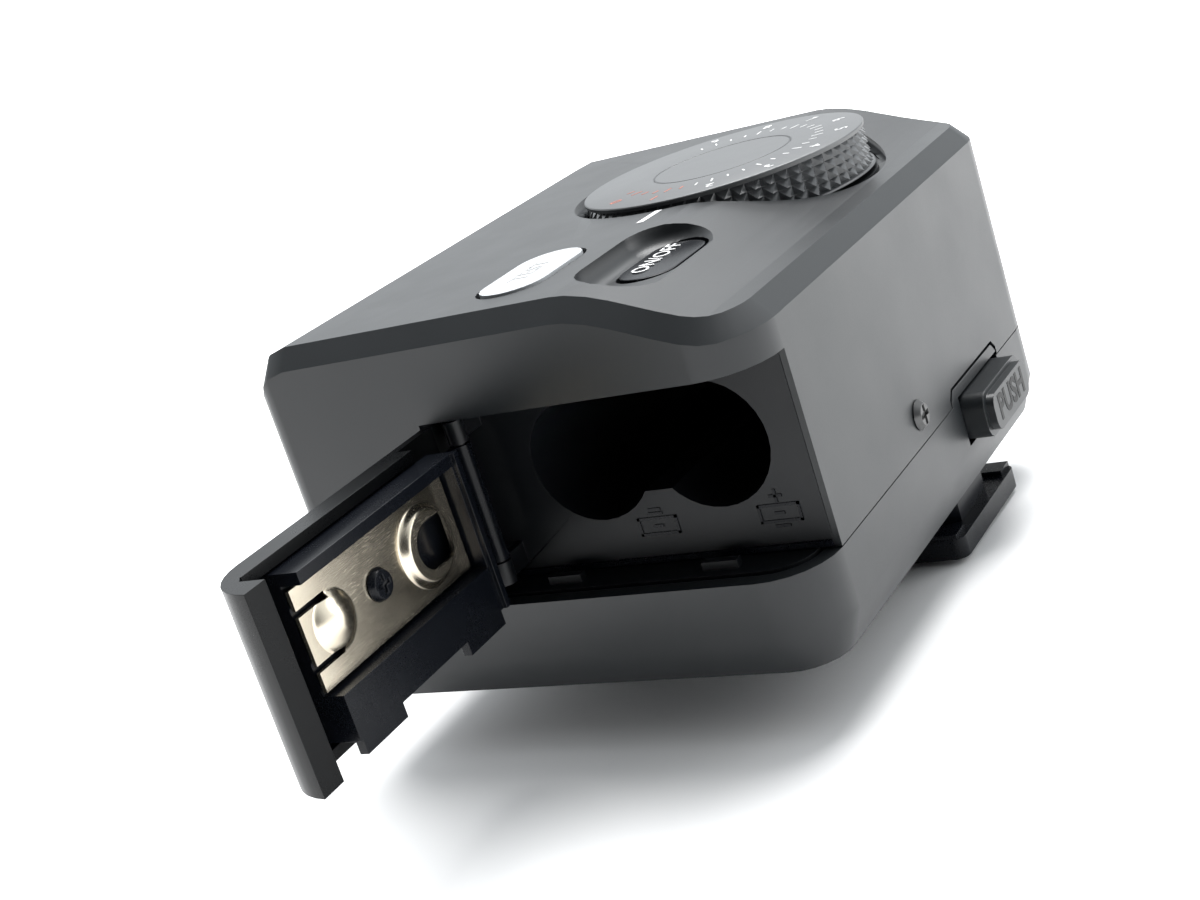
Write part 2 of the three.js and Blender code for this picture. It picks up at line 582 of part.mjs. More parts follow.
// ---- top buttons ----
function makeTestButton() {
  const cap = plate(barOutline(TEST, 0), TOP - 2.2, TOP + 0.2);
  const flange = plate(barOutline(TEST, 0.9), TOP - 2.9, TOP - 2.1);
  return join(cap, flange);
}

function makePowerButton() {
  const outline = barOutline(POWER, 0);
  const blank = plate(outline, 30.6, SCOOP.floor + 1);
  const slope = [
    [POWER.y0 - 1, SCOOP.floor + 0.35], [POWER.y1 + 1, SCOOP.floor],
    [POWER.y1 + 1, SCOOP.floor + 3], [POWER.y0 - 1, SCOOP.floor + 3],
  ];
  const cap = cut(blank, profileX(slope, POWER.x0 - 1, POWER.x1 + 1));
  return join(cap, plate(barOutline(POWER, 0.7), 30.0, 30.8));
}

function makeTactSwitch(b, plungerTop) {
  const [cx, cy] = [(b.x0 + b.x1) / 2, (b.y0 + b.y1) / 2];
  return join(
    box(cx - 2.2, cx + 2.2, cy - 2.2, cy + 2.2, BOARD.z1 + 0.1, BOARD.z1 + 1.0),
    rod('z', [cx, cy, BOARD.z1 + 0.9], plungerTop - BOARD.z1 - 0.9, 1.2, 16),
  );
}

const makeReadyLamp = () => join(
  rod('z', [TEST.x1 - 3.1, -24.8, BOARD.z1 + 0.1], 2.4, 0.9, 16),
  rod('z', [TEST.x1 - 3.1, -24.8, BOARD.z1 + 2.4], 0.7, 0.9, 16, 0.5),
);

const makeSensorWindow = () => join(
  box(SENSOR.x0 + 0.1, SENSOR.x1 - 0.1, -DEPTH + 0.1, -DEPTH + WALL + 0.2, SENSOR.z0 + 0.1, SENSOR.z1 - 0.1),
  box(SENSOR.x0 - 0.6, SENSOR.x1 + 0.6, -DEPTH + WALL + 0.1, -DEPTH + WALL + 0.7,
    SENSOR.z0 - 0.6, SENSOR.z1 + 0.6),
);

const makeLightSensor = () => box(15.2, 18.8, -DEPTH + WALL + 1.1, -DEPTH + WALL + 2.3, 10.4, 13.2);

// ---- battery door, made in its closed place ----
const DOOR_FRAME_X = [27.0, 30.0]; // closed place of the frame
const DOOR_TABS = { z0: 9.7, z1: 11.4, length: 5.8 };

function makeDoorCover() {
  const edge = HINGE.y - 1.6;
  const skinIn = DOOR_FACE - 0.9;
  const skin = plate([
    [DOOR_FACE, edge],
    ...arc(DOOR_FACE - REAR_R, -REAR_R, REAR_R, 0, 86, 8),
    [RECESS_X + 0.42, -2.6], [29.4, -2.6], [30.6, -4.2], [skinIn, -5.8], [skinIn, edge],
  ], ...DOOR_Z);
  const rails = [[DOOR_Z[0], DOOR_Z[0] + 1.0], [DOOR_Z[1] - 1.0, DOOR_Z[1]]]
    .map(([z0, z1]) => box(29.9, skinIn + 0.1, -27.6, -3.4, z0, z1));
  return join(skin, ...rails);
}

function makeDoorFrame() {
  const [x0, x1] = DOOR_FRAME_X;
  const [z0, z1] = [11.0, 25.8];
  const slab = box(x0, x1 + 1.2, -23.6, -6.1, z0, z1);
  const nearHinge = box(x0, x1, -29.3, -23.5, z0, z1);
  const well = box(x0 - 1, x0 + 2.1, -28.4, -5.6, z0 + 4.1, z1 - 1.1);
  const rib = box(x0 - 0.4, x0 + 0.1, -29.3, -28.6, z0, z1);
  const tabs = HOOKS.ys.map((y) => box(x0, x0 + 0.9, y, y + DOOR_TABS.length, DOOR_TABS.z0, DOOR_TABS.z1));
  const track = box(x1 - 0.1, x1 + 2, -29.6, -19.2, 12.3, 25.0);
  const screwHole = rod('x', [x0 - 1, BRIDGE_SCREW.y, CELL_Z], 5, 0.7, 12);
  return cut(join(slab, nearHinge, rib, ...tabs), well, track, screwHole);
}

const BRIDGE = { x: 28.8, t: 0.4, y0: -28.0, y1: -6.0, z0: 15.5, z1: 24.3, ringY: -23.2 };
const BRIDGE_SCREW = { y: -15.9 };

function makeBridgeContact() {
  const { x, t, y0, y1, z0, z1 } = BRIDGE;
  const sheet = box(x - t, x, y0, y1, z0, z1);
  const rear = CELL_YS[0];
  const front = BRIDGE.ringY;
  const dome = rod('x', [x - t - 1.0, rear, CELL_Z], 1.1, 1.1, 20, 2.5);
  const ring = rod('x', [x - t - 0.8, front, CELL_Z], 0.9, 3.1, 28, 3.7);
  const ringHole = rod('x', [x - 3, front, CELL_Z], 4, 2.1, 24);
  const ringCut = box(x - 3, x + 1, front - 2.6, front, CELL_Z - 2.1, CELL_Z + 2.1);
  const slots = [CELL_Z - 2.7, CELL_Z + 2.1].map((z) => box(x - 1, x + 1, y1 - 3.4, y1 + 1, z, z + 0.7));
  const hole = rod('x', [x - 2, BRIDGE_SCREW.y, CELL_Z], 3, 0.75, 12);
  return cut(join(sheet, dome, ring), ringHole, ringCut, ...slots, hole);
}

function makeBridgeScrew() {
  const x = BRIDGE.x - BRIDGE.t;
  const head = rod('x', [x - 0.65, BRIDGE_SCREW.y, CELL_Z], 0.6, 1.2, 20, 1.5);
  const shank = rod('x', [x - 0.1, BRIDGE_SCREW.y, CELL_Z], 1.9, 0.65, 12);
  const across = box(x - 1, x - 0.35, BRIDGE_SCREW.y - 0.2, BRIDGE_SCREW.y + 0.2, CELL_Z - 0.8, CELL_Z + 0.8);
  const along = box(x - 1, x - 0.35, BRIDGE_SCREW.y - 0.8, BRIDGE_SCREW.y + 0.8, CELL_Z - 0.2, CELL_Z + 0.2);
  return cut(join(head, shank), across, along);
}

const BRACKET_Z = [13.0, 24.4];

function makeHingeBracket() {
  const [z0, z1] = BRACKET_Z;
  const knuckle = rod('z', [HINGE.x, HINGE.y, z0], z1 - z0, HINGE.r, 20);
  const leaf = box(30.35, 31.15, HINGE.y, -21.4, z0, z1);
  return cut(join(knuckle, leaf), rod('z', [HINGE.x, HINGE.y, z0 - 1], 20, HINGE.pin + 0.05, 16));
}

const makeHingePin = () => rod('z', [HINGE.x, HINGE.y, 10.8], 15.8, HINGE.pin, 16);

// Lugs of the battery box that hold the hinge pin above and below the bracket.
function hingeLugs() {
  const lug = (z0, z1) => join(
    rod('z', [HINGE.x, HINGE.y, z0], z1 - z0, HINGE.r, 20),
    box(RECESS_X - 0.5, HINGE.x, HINGE.y - HINGE.r, HINGE.y - HINGE.r + 0.9, z0, z1),
  );
  return join(lug(10.6, 12.8), lug(24.6, 26.8));
}

// Hole for the hinge pin through both lugs.
const makeHingePinHole = () => rod('z', [HINGE.x, HINGE.y, 10], 18, HINGE.pin + 0.02, 16);

// ---- assembly ----
const unit = new THREE.Group();
unit.position.set(-FOOT.x, -FOOT.y, -(FOOT.top - FOOT.t));

function add(name, solid, material, parent = unit) {
  const mesh = new THREE.Mesh(toGeometry(solid), material);
  mesh.name = name;
  parent.add(mesh);
}

// The door hangs open at a right angle and is drawn out on its bracket.
const doorOpen = new THREE.Group();
doorOpen.position.set(HINGE.x, HINGE.y, 0);
doorOpen.rotation.z = -Math.PI / 2;
const hinged = new THREE.Group();
hinged.position.set(-HINGE.x, -HINGE.y, 0);
const drawnOut = new THREE.Group();
drawnOut.position.set(-HINGE.x, -HINGE.y + SLIDE, 0);
doorOpen.add(hinged, drawnOut);
unit.add(doorOpen);

add('base_tray', makeBaseTray(), shellGrey());
add('shoe_foot', makeShoeFoot(), blackPlastic());
shoePinPlaces().forEach((place, i) => add(`shoe_contact_${i + 1}`, makeShoePin(place), nickel()));
footScrewPlaces().forEach((place, i) => add(`foot_screw_${i + 1}`, makeFootScrew(place), steel()));
add('base_pad', box(PAD.x0, PAD.x1, PAD.y0, PAD.y1, -PAD.out, 0.2), blackPlastic());
add('push_button', makePushButton(), shellGrey());
add('release_latch', makeReleaseLatch(), steel());
add('rear_lift_arm', makeLiftArm(ARM.rearY, ARM.rearZ, 23), steel());
add('front_lift_arm', makeLiftArm(ARM.frontY, ARM.frontZ, 21), steel());
add('rear_arm_base_pin', makePin(ARM.rearY, ARM.rearZ, 25.4), steel());
add('front_arm_base_pin', makePin(ARM.frontY, ARM.frontZ, 25.4), steel());
add('rear_arm_body_pin', makePin(ARM.rearY - ARM.reach, ARM.rearZ, 25.3), steel());
add('front_arm_body_pin', makePin(ARM.frontY - ARM.reach, ARM.frontZ, 25.3), steel());
add('bottom_plate', makeBottomPlate(), steel());
plateScrewPlaces().forEach((place, i) => add(`bottom_plate_screw_${i + 1}`, makePlateScrew(place), steel()));
add('upper_shell', makeUpperShell(), shellGrey());
add('back_screw', makeBackScrew(), steel());
add('battery_box', join(makeBatteryBox(), hingeLugs()).subtract(makeHingePinHole()), blackPlastic());
add('plate_contact', makePlateContact(), nickel());
add('coil_contact', makeCoilContact(), nickel());
add('front_window', makeWindow(), paint(0xdfe6ea, 0.15));
add('reflector', makeReflector(), paint(0xd8dadc, 0.15, 1));
add('flash_tube', makeFlashTube(), paint(0xe8eef2, 0.08));
add('wide_panel', makeWidePanel(), paint(0xdce2e6, 0.3));
add('main_capacitor', makeMainCapacitor(), paint(0x22242c, 0.4));
add('main_board', makeMainBoard(), paint(0x1f5a3a, 0.6));
add('trigger_transformer', makeTransformer(), paint(0xc08a3a, 0.6));
add('dial_encoder', makeDialEncoder(), paint(0x2a2c30, 0.5));
add('dial', makeDial(), shellGrey());
add('dial_shaft', makeDialShaft(), steel());
add('test_button', makeTestButton(), paint(0xe9edf0, 0.35));
add('test_switch', makeTactSwitch(TEST, TOP - 3.5), blackPlastic());
add('ready_lamp', makeReadyLamp(), paint(0xd8e8c8, 0.2));
add('power_button', makePowerButton(), blackPlastic());
add('power_switch', makeTactSwitch(POWER, 29.4), blackPlastic());
add('sensor_window', makeSensorWindow(), paint(0x5a1414, 0.2));
add('light_sensor', makeLightSensor(), paint(0x22252a, 0.3));
add('door_hinge_pin', makeHingePin(), steel());
add('door_hinge_bracket', makeHingeBracket(), blackPlastic(), hinged);
add('door_cover', makeDoorCover(), shellGrey(), drawnOut);
add('door_frame', makeDoorFrame(), blackPlastic(), drawnOut);
add('bridge_contact', makeBridgeContact(), nickel(), drawnOut);
add('bridge_screw', makeBridgeScrew(), blackPlastic(), drawnOut);

export default unit;
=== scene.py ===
"""Looks for a compact hot-shoe flash unit with its battery door open."""

import json
import logging
import math
from abc import ABC, abstractmethod
from dataclasses import dataclass, field
from enum import Enum
from typing import Iterable, Sequence

import bmesh
import bpy
from mathutils import Matrix, Vector


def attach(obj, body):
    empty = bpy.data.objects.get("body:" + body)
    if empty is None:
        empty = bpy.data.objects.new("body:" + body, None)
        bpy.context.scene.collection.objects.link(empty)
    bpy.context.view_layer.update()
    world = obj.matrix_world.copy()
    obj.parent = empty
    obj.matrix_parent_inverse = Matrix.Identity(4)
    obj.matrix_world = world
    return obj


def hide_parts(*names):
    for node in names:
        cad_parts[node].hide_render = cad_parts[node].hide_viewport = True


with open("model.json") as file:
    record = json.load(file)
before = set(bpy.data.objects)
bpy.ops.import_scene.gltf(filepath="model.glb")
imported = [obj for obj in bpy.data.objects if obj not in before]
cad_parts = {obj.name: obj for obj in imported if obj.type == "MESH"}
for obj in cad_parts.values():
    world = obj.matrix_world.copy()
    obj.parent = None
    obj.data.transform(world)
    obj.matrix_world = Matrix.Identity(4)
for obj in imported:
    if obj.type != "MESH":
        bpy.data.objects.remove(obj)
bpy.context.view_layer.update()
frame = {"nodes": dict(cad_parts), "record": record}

LOG = logging.getLogger("scene")

MM = 0.001
UNIT_OFFSET = Vector((11.0, 10.6, 5.7))  # from the foot's underside to the body's own origin
CLEAN_DISTANCE = 2e-6  # points of a CAD shape closer than this, in metres, are one point
LETTER_DISTANCE = 1e-6  # the same for letters
FLAT_ANGLE = 0.6  # faces that meet within this angle, in degrees, are one face

Colour = tuple[float, float, float, float]
Point = tuple[float, float]


def at(x: float, y: float, z: float) -> Vector:
    """Turns body coordinates into a point in the row frame.

    Args:
        x: Millimetres from the body's middle toward the battery end.
        y: Millimetres from the back face, negative toward the front.
        z: Millimetres above the underside of the base.
    Returns:
        The point in metres.
    """
    return (Vector((x, y, z)) + UNIT_OFFSET) * MM


# --------------------------------------------------------------------------- shader graph


class Socket:
    """A node's output that can be used in arithmetic."""

    def __init__(self, tree: "NodeTree", output: bpy.types.NodeSocket) -> None:
        """Wraps an output of a node in a tree."""
        self.tree = tree
        self.output = output

    def __add__(self, other: "Socket | float") -> "Socket":
        """Returns self + other."""
        return self.tree.math("ADD", self, other)

    def __radd__(self, other: "Socket | float") -> "Socket":
        """Returns other + self."""
        return self.tree.math("ADD", other, self)

    def __sub__(self, other: "Socket | float") -> "Socket":
        """Returns self - other."""
        return self.tree.math("SUBTRACT", self, other)

    def __rsub__(self, other: "Socket | float") -> "Socket":
        """Returns other - self."""
        return self.tree.math("SUBTRACT", other, self)

    def __mul__(self, other: "Socket | float") -> "Socket":
        """Returns self * other."""
        return self.tree.math("MULTIPLY", self, other)

    def __rmul__(self, other: "Socket | float") -> "Socket":
        """Returns other * self."""
        return self.tree.math("MULTIPLY", other, self)

    def __truediv__(self, other: "Socket | float") -> "Socket":
        """Returns self / other."""
        return self.tree.math("DIVIDE", self, other)

    def __rtruediv__(self, other: "Socket | float") -> "Socket":
        """Returns other / self."""
        return self.tree.math("DIVIDE", other, self)


class NodeTree:
    """Adds nodes to a tree and links them."""

    def __init__(self, tree: bpy.types.NodeTree) -> None:
        """Starts on an existing tree."""
        self.tree = tree

    def node(
        self, kind: str, out: str | int, settings: dict[str, object] | None = None, **inputs: object
    ) -> Socket:
        """Adds a node.

        Args:
            kind: The node's type name.
            out: The output to return.
            settings: Attributes of the node itself.
            inputs: Socket values, or sockets to link, with spaces written as underscores.
        Returns:
            The chosen output.
        """
        made = self.tree.nodes.new(kind)
        for key, value in (settings or {}).items():
            setattr(made, key, value)
        for key, value in inputs.items():
            self.feed(made.inputs[key.replace("_", " ")], value)
        return Socket(self, made.outputs[out])

    def feed(self, target: bpy.types.NodeSocket, value: object) -> None:
        """Links a socket to an input, or sets the input's value.

        Args:
            target: The input.
            value: A socket to link, or a plain value.
        """
        if isinstance(value, Socket):
            self.tree.links.new(value.output, target)
        else:
            target.default_value = value

    def math(self, operation: str, *values: Socket | float) -> Socket:
        """Adds a math node.

        Args:
            operation: The node's operation.
            values: Its operands, in order.
        Returns:
            The result.
        """
        made = self.tree.nodes.new("ShaderNodeMath")
        made.operation = operation
        for target, value in zip(made.inputs, values):
            self.feed(target, value)
        return Socket(self, made.outputs[0])


class Graph(NodeTree):
    """Builds one material's node tree."""

    def __init__(self, material: bpy.types.Material) -> None:
        """Clears a material and gives it one surface shader.

        Args:
            material: The material to build.
        """
        material.use_nodes = True
        super().__init__(material.node_tree)
        self.tree.nodes.clear()
        output = self.tree.nodes.new("ShaderNodeOutputMaterial")
        self.shader = self.tree.nodes.new("ShaderNodeBsdfPrincipled")
        self.tree.links.new(self.shader.outputs["BSDF"], output.inputs["Surface"])
        self.position = self.node("ShaderNodeTexCoord", "Object")

    def noise(
        self, scale: float, detail: float = 2.0, stretch: Sequence[float] | None = None
    ) -> Socket:
        """Adds a noise over the object's own coordinates.

        Args:
            scale: Cycles per metre.
            detail: How many finer octaves it has.
            stretch: Scale along each axis, or None for even noise.
        Returns:
            The noise value.
        """
        vector = self.position
        if stretch:
            vector = self.node("ShaderNodeMapping", "Vector", Vector=vector, Scale=tuple(stretch))
        return self.node("ShaderNodeTexNoise", "Fac", Vector=vector, Scale=scale, Detail=detail)

    def ramp(
        self, value: Socket, low: float, high: float, to_low: float, to_high: float
    ) -> Socket:
        """Maps a value from one range to another and clamps it.

        Args:
            value: The value.
            low: Where the first range starts.
            high: Where the first range ends.
            to_low: What low becomes.
            to_high: What high becomes.
        Returns:
            The mapped value.
        """
        return self.node(
            "ShaderNodeMapRange",
            "Result",
            Value=value,
            From_Min=low,
            From_Max=high,
            To_Min=to_low,
            To_Max=to_high,
        )

    def mix(self, factor: Socket | float, first: Colour, second: Colour) -> Socket:
        """Blends two colours.

        Args:
            factor: 0 for the first colour, 1 for the second.
            first: The first colour.
            second: The second colour.
        Returns:
            The blend.
        """
        made = self.tree.nodes.new("ShaderNodeMix")
        made.data_type = "RGBA"
        inputs = {socket.identifier: socket for socket in made.inputs}
        self.feed(inputs["Factor_Float"], factor)
        self.feed(inputs["A_Color"], first)
        self.feed(inputs["B_Color"], second)
        outputs = {socket.identifier: socket for socket in made.outputs}
        return Socket(self, outputs["Result_Color"])

    def bump(self, height: Socket, strength: float, distance: float) -> Socket:
        """Turns a height into a shading normal.

        Args:
            height: The height value.
            strength: How strongly it shows.
            distance: What a height of 1 stands for, in metres.
        Returns:
            The normal.
        """
        return self.node(
            "ShaderNodeBump", "Normal", Height=height, Strength=strength, Distance=distance
        )

    def set(self, **inputs: object) -> None:
        """Sets or links inputs of the surface shader.

        Args:
            inputs: Values or sockets, with spaces written as underscores.
        """
        for key, value in inputs.items():
            self.feed(self.shader.inputs[key.replace("_", " ")], value)


def grey(value: float, tint: Sequence[float] = (1.0, 1.0, 1.0)) -> Colour:
    """Makes a grey.

    Args:
        value: How light it is, from 0 to 1.
        tint: A factor for each of red, green and blue.
    Returns:
        The colour, opaque.
    """
    return (value * tint[0], value * tint[1], value * tint[2], 1.0)


def shade(colour: Colour, factor: float) -> Colour:
    """Makes a colour lighter or darker, up to full white.

    Args:
        colour: The colour.
        factor: What to multiply it by.
    Returns:
        The new colour, opaque.
    """
    red, green, blue = (min(1.0, c * factor) for c in colour[:3])
    return (red, green, blue, 1.0)


class Finish(ABC):
    """A surface finish that makes its material once and hands it out again."""

    title: str

    def material(self) -> bpy.types.Material:
        """Returns the finish's material, made on first use."""
        made = bpy.data.materials.get(self.title)
        if made is None:
            made = bpy.data.materials.new(self.title)
            self.paint(Graph(made))
        return made

    @abstractmethod
    def paint(self, g: Graph) -> None:
        """Builds the material's nodes."""


@dataclass(frozen=True)
class Moulded(Finish):
    """Moulded or painted plastic with a fine grain."""

    title: str
    colour: Colour
    roughness: float
    grain: float = 0.05
    grain_scale: float = 9000.0
    mottling: float = 0.12
    specular: float = 0.5

    def paint(self, g: Graph) -> None:
        """Mottles the colour, varies the gloss and adds the grain.

        Args:
            g: The material's tree.
        """
        cloud = g.noise(120.0, 3.0)
        fine = g.noise(self.grain_scale, 1.0)
        dark = shade(self.colour, 1 - self.mottling)
        light = shade(self.colour, 1 + self.mottling)
        rough = self.roughness
        g.set(
            Base_Color=g.mix(cloud, dark, light),
            Roughness=g.ramp(cloud + fine * 0.35, 0.35, 1.0, rough - 0.04, rough + 0.05),
            Specular_IOR_Level=self.specular,
            Normal=g.bump(fine, self.grain, 0.00004),
        )


@dataclass(frozen=True)
class Metal(Finish):
    """Bare or plated metal, brushed along one axis."""

    title: str
    colour: Colour
    roughness: float
    brush: tuple[float, float, float] = (1.0, 30.0, 30.0)
    strength: float = 0.08

    def paint(self, g: Graph) -> None:
        """Adds fine streaks along the brushed axis.

        Args:
            g: The material's tree.
        """
        streaks = g.noise(900.0, 3.0, self.brush)
        cloud = g.noise(160.0, 2.0)
        rough = self.roughness
        g.set(
            Base_Color=g.mix(cloud, shade(self.colour, 0.86), self.colour),
            Metallic=1.0,
            Roughness=g.ramp(streaks + cloud * 0.5, 0.4, 1.1, rough - 0.05, rough + 0.1),
            Normal=g.bump(streaks, self.strength, 0.00005),
        )


@dataclass(frozen=True)
class Clear(Finish):
    """Clear plastic or glass."""

    title: str
    colour: Colour
    roughness: float = 0.05
    ior: float = 1.49

    def paint(self, g: Graph) -> None:
        """Lets light through and smears the gloss a little.

        Args:
            g: The material's tree.
        """
        smear = g.noise(90.0, 3.0)
        g.set(
            Base_Color=self.colour,
            Roughness=g.ramp(smear, 0.3, 0.7, self.roughness, self.roughness + 0.06),
            IOR=self.ior,
            Transmission_Weight=1.0,
            Normal=g.bump(smear, 0.02, 0.0002),
        )


class Finishes(Enum):
    """The finishes used on the object."""

    SHELL = Moulded("satin_dark_grey", grey(0.0115, (0.84, 1.0, 1.14)), 0.38, specular=0.46)
    DIAL = Moulded("dial_grey", grey(0.045, (0.94, 1.0, 1.06)), 0.38, specular=0.85)
    # The knurl teeth are the dial's own plastic painted lighter than the dial: a painted highlight
    # for their lit facets.
    KNURL = Moulded("knurl_painted_highlight_grey", grey(0.085, (0.95, 1.0, 1.05)), 0.25, grain=0.0, specular=0.8)
    # The door is darker than the shell: its own black plastic, darkened further as painted shade
    # for the shade the open door lies in.
    DOOR = Moulded("door_black_with_painted_shade", grey(0.0028, (0.88, 1.0, 1.15)), 0.28, specular=0.14)
    BLACK = Moulded("moulded_black", grey(0.0045, (0.8, 1.0, 1.5)), 0.26, specular=0.18)
    BOX = Moulded("battery_box_grey", grey(0.006, (0.85, 1.0, 1.25)), 0.4, specular=0.32)
    PRINT = Moulded("white_print", grey(0.75), 0.5, mottling=0.04)
    RED_PRINT = Moulded("red_print", (0.45, 0.10, 0.05, 1.0), 0.5)
    FAINT = Moulded("faint_print", grey(0.34), 0.5)
    # Near-black letters stand in for the shade inside an engraved word's grooves: painted shade.
    ENGRAVED = Moulded("engraved_word_painted_shade", grey(0.004), 0.6)
    RUBBER = Moulded("soft_black", grey(0.012), 0.65, grain=0.15)
    MILK = Moulded("milk_white", grey(0.5, (0.97, 1.0, 1.03)), 0.35, mottling=0.03)
    NICKEL = Metal("warm_nickel", (0.78, 0.70, 0.56, 1.0), 0.2)
    STEEL = Metal("plain_steel", (0.58, 0.58, 0.57, 1.0), 0.32)
    DARK_SCREW = Metal("black_oxide", (0.10, 0.10, 0.10, 1.0), 0.35)
    MIRROR = Metal("bright_sheet", (0.88, 0.89, 0.90, 1.0), 0.08, strength=0.02)
    WINDOW = Clear("clear_ribbed", (0.93, 0.95, 0.97, 1.0))
    GLASS = Clear("tube_glass", (0.97, 0.98, 1.0, 1.0), 0.02, 1.46)
    BOARD = Moulded("solder_mask", (0.012, 0.10, 0.045, 1.0), 0.4)
    SLEEVE = Moulded("shrink_sleeve", grey(0.02), 0.3)
    TAPE = Moulded("winding_tape", (0.5, 0.26, 0.06, 1.0), 0.5)
    LAMP = Clear("lamp_resin", (0.85, 0.95, 0.6, 1.0), 0.1)
    RED_WINDOW = Moulded("dark_red_filter", (0.06, 0.004, 0.004, 1.0), 0.15)


# --------------------------------------------------------------------------- mesh helpers


def finish_mesh(obj: bpy.types.Object, smooth_deg: float = 32.0) -> None:
    """Shades a mesh smooth up to an angle.

    Args:
        obj: The mesh object.
        smooth_deg: Edges sharper than this, in degrees, stay sharp.
    """
    obj.data.polygons.foreach_set("use_smooth", [True] * len(obj.data.polygons))
    obj.data.set_sharp_from_angle(angle=math.radians(smooth_deg))


def link(name: str, data: bpy.types.ID) -> bpy.types.Object:
    """Makes an object and puts it in the scene.

    Args:
        name: The object's name.
        data: Its mesh, camera or light.
    Returns:
        The object.
    """
    obj = bpy.data.objects.new(name, data)
    bpy.context.scene.collection.objects.link(obj)
    return obj


def discard(obj: bpy.types.Object) -> None:
    """Removes a mesh object and its mesh."""
    mesh = obj.data
    bpy.data.objects.remove(obj)
    bpy.data.meshes.remove(mesh)


def bake(obj: bpy.types.Object) -> bpy.types.Object:
    """Applies an object's modifiers to its mesh.

    Args:
        obj: The mesh object.
    Returns:
        The same object.
    """
    graph = bpy.context.evaluated_depsgraph_get()
    baked = bpy.data.meshes.new_from_object(obj.evaluated_get(graph))
    obj.modifiers.clear()
    old = obj.data
    obj.data = baked
    bpy.data.meshes.remove(old)
    return obj


def soften(obj: bpy.types.Object, width_mm: float) -> None:
    """Rounds an object's sharp edges.

    Args:
        obj: The mesh object.
        width_mm: The radius.
    """
    bevel = obj.modifiers.new("edge", "BEVEL")
    bevel.limit_method = "ANGLE"
    bevel.angle_limit = math.radians(35.0)
    bevel.width = width_mm * MM
    bevel.segments = 2
    bevel.use_clamp_overlap = True
    bake(obj)


def even_shading(obj: bpy.types.Object) -> None:
    """Weights shading by face area, so that flat faces stay flat next to rounded edges.

    Args:
        obj: The mesh object.
    """
    weighted = obj.modifiers.new("shading", "WEIGHTED_NORMAL")
    weighted.keep_sharp = True
    weighted.weight = 80
    bake(obj)


def mesh_object(name: str, bm: bmesh.types.BMesh, smooth_deg: float = 32.0) -> bpy.types.Object:
    """Turns a bmesh into an object with outward faces, and frees it.

    Args:
        name: The object's name.
        bm: The bmesh.
        smooth_deg: Edges sharper than this, in degrees, stay sharp.
    Returns:
        The object.
    """
    bmesh.ops.recalc_face_normals(bm, faces=bm.faces)
    mesh = bpy.data.meshes.new(name)
    bm.to_mesh(mesh)
    bm.free()
    obj = link(name, mesh)
    finish_mesh(obj, smooth_deg)
    return obj


def from_node(node: str, name: str, edge_mm: float = 0.1) -> bpy.types.Object:
    """Copies a CAD node's shape, cleans it and rounds its edges.

    Args:
        node: The CAD node to copy.
        name: The new piece's name.
        edge_mm: Radius of the rounded edges, or 0 for none.
    Returns:
        The new piece.
    """
    bm = bmesh.new()
    bm.from_mesh(frame["nodes"][node].data)
    bmesh.ops.remove_doubles(bm, verts=bm.verts, dist=CLEAN_DISTANCE)
    flat = math.radians(FLAT_ANGLE)
    bmesh.ops.dissolve_limit(bm, angle_limit=flat, verts=bm.verts, edges=bm.edges)
    obj = mesh_object(name, bm)
    if edge_mm > 0:
        soften(obj, edge_mm)
        finish_mesh(obj)
        even_shading(obj)
    return obj


def on_circle(centre: Vector, radius: float, angle: float, z: float) -> Vector:
    """Returns a point on a level circle.

    Args:
        centre: The circle's centre in body coordinates.
        radius: Its radius in millimetres.
        angle: The angle round it, in radians.
        z: Its height.
    Returns:
        The point in metres.
    """
    return at(centre.x + radius * math.cos(angle), centre.y + radius * math.sin(angle), z)


def lathe(bm: bmesh.types.BMesh, centre: Vector, profile: Sequence[Point], steps: int) -> None:
    """Turns a closed profile round a vertical axis.

    Args:
        bm: The bmesh to add to.
        centre: Where the axis stands, in body coordinates.
        profile: Radius and height of each point, from the axis and back to it.
        steps: How many segments the circle has.
    """
    rings = []
    for r, z in profile:
        if r == 0:
            rings.append([bm.verts.new(at(centre.x, centre.y, z))])
            continue
        turn = [2 * math.pi * i / steps for i in range(steps)]
        rings.append([bm.verts.new(on_circle(centre, r, a, z)) for a in turn])
    for lower, upper in zip(rings, rings[1:]):
        for i in range(steps):
            j = (i + 1) % steps
            if len(lower) == 1:
                bm.faces.new((lower[0], upper[i], upper[j]))
            elif len(upper) == 1:
                bm.faces.new((lower[i], lower[j], upper[0]))
            else:
                bm.faces.new((lower[i], lower[j], upper[j], upper[i]))


def turn_out(obj: bpy.types.Object) -> None:
    """Makes a closed mesh's faces point outwards.

    Args:
        obj: The mesh object.
    """
    bm = bmesh.new()
    bm.from_mesh(obj.data)
    bmesh.ops.recalc_face_normals(bm, faces=bm.faces)
    bm.to_mesh(obj.data)
    bm.free()


def carve(obj: bpy.types.Object, cutters: Iterable[bpy.types.Object]) -> None:
    """Cuts closed shapes out of a piece and removes them.

    Args:
        obj: The piece.
        cutters: The shapes.
    """
    for cutter in cutters:
        cut = obj.modifiers.new("cut", "BOOLEAN")
        cut.operation = "DIFFERENCE"
        cut.solver = "EXACT"
        cut.object = cutter
        bake(obj)
        discard(cutter)


@dataclass(frozen=True)
class Plane:
    """A flat place on the object to draw on, in body coordinates and millimetres."""

    origin: tuple[float, float, float]
    across: tuple[float, float, float]
    up: tuple[float, float, float]

    def matrix(self) -> Matrix:
        """Returns the matrix from the plane's coordinates in metres to the row frame."""
        across, up = Vector(self.across), Vector(self.up)
        turn = Matrix((across, up, across.cross(up))).transposed().to_4x4()
        return Matrix.Translation(at(*self.origin)) @ turn


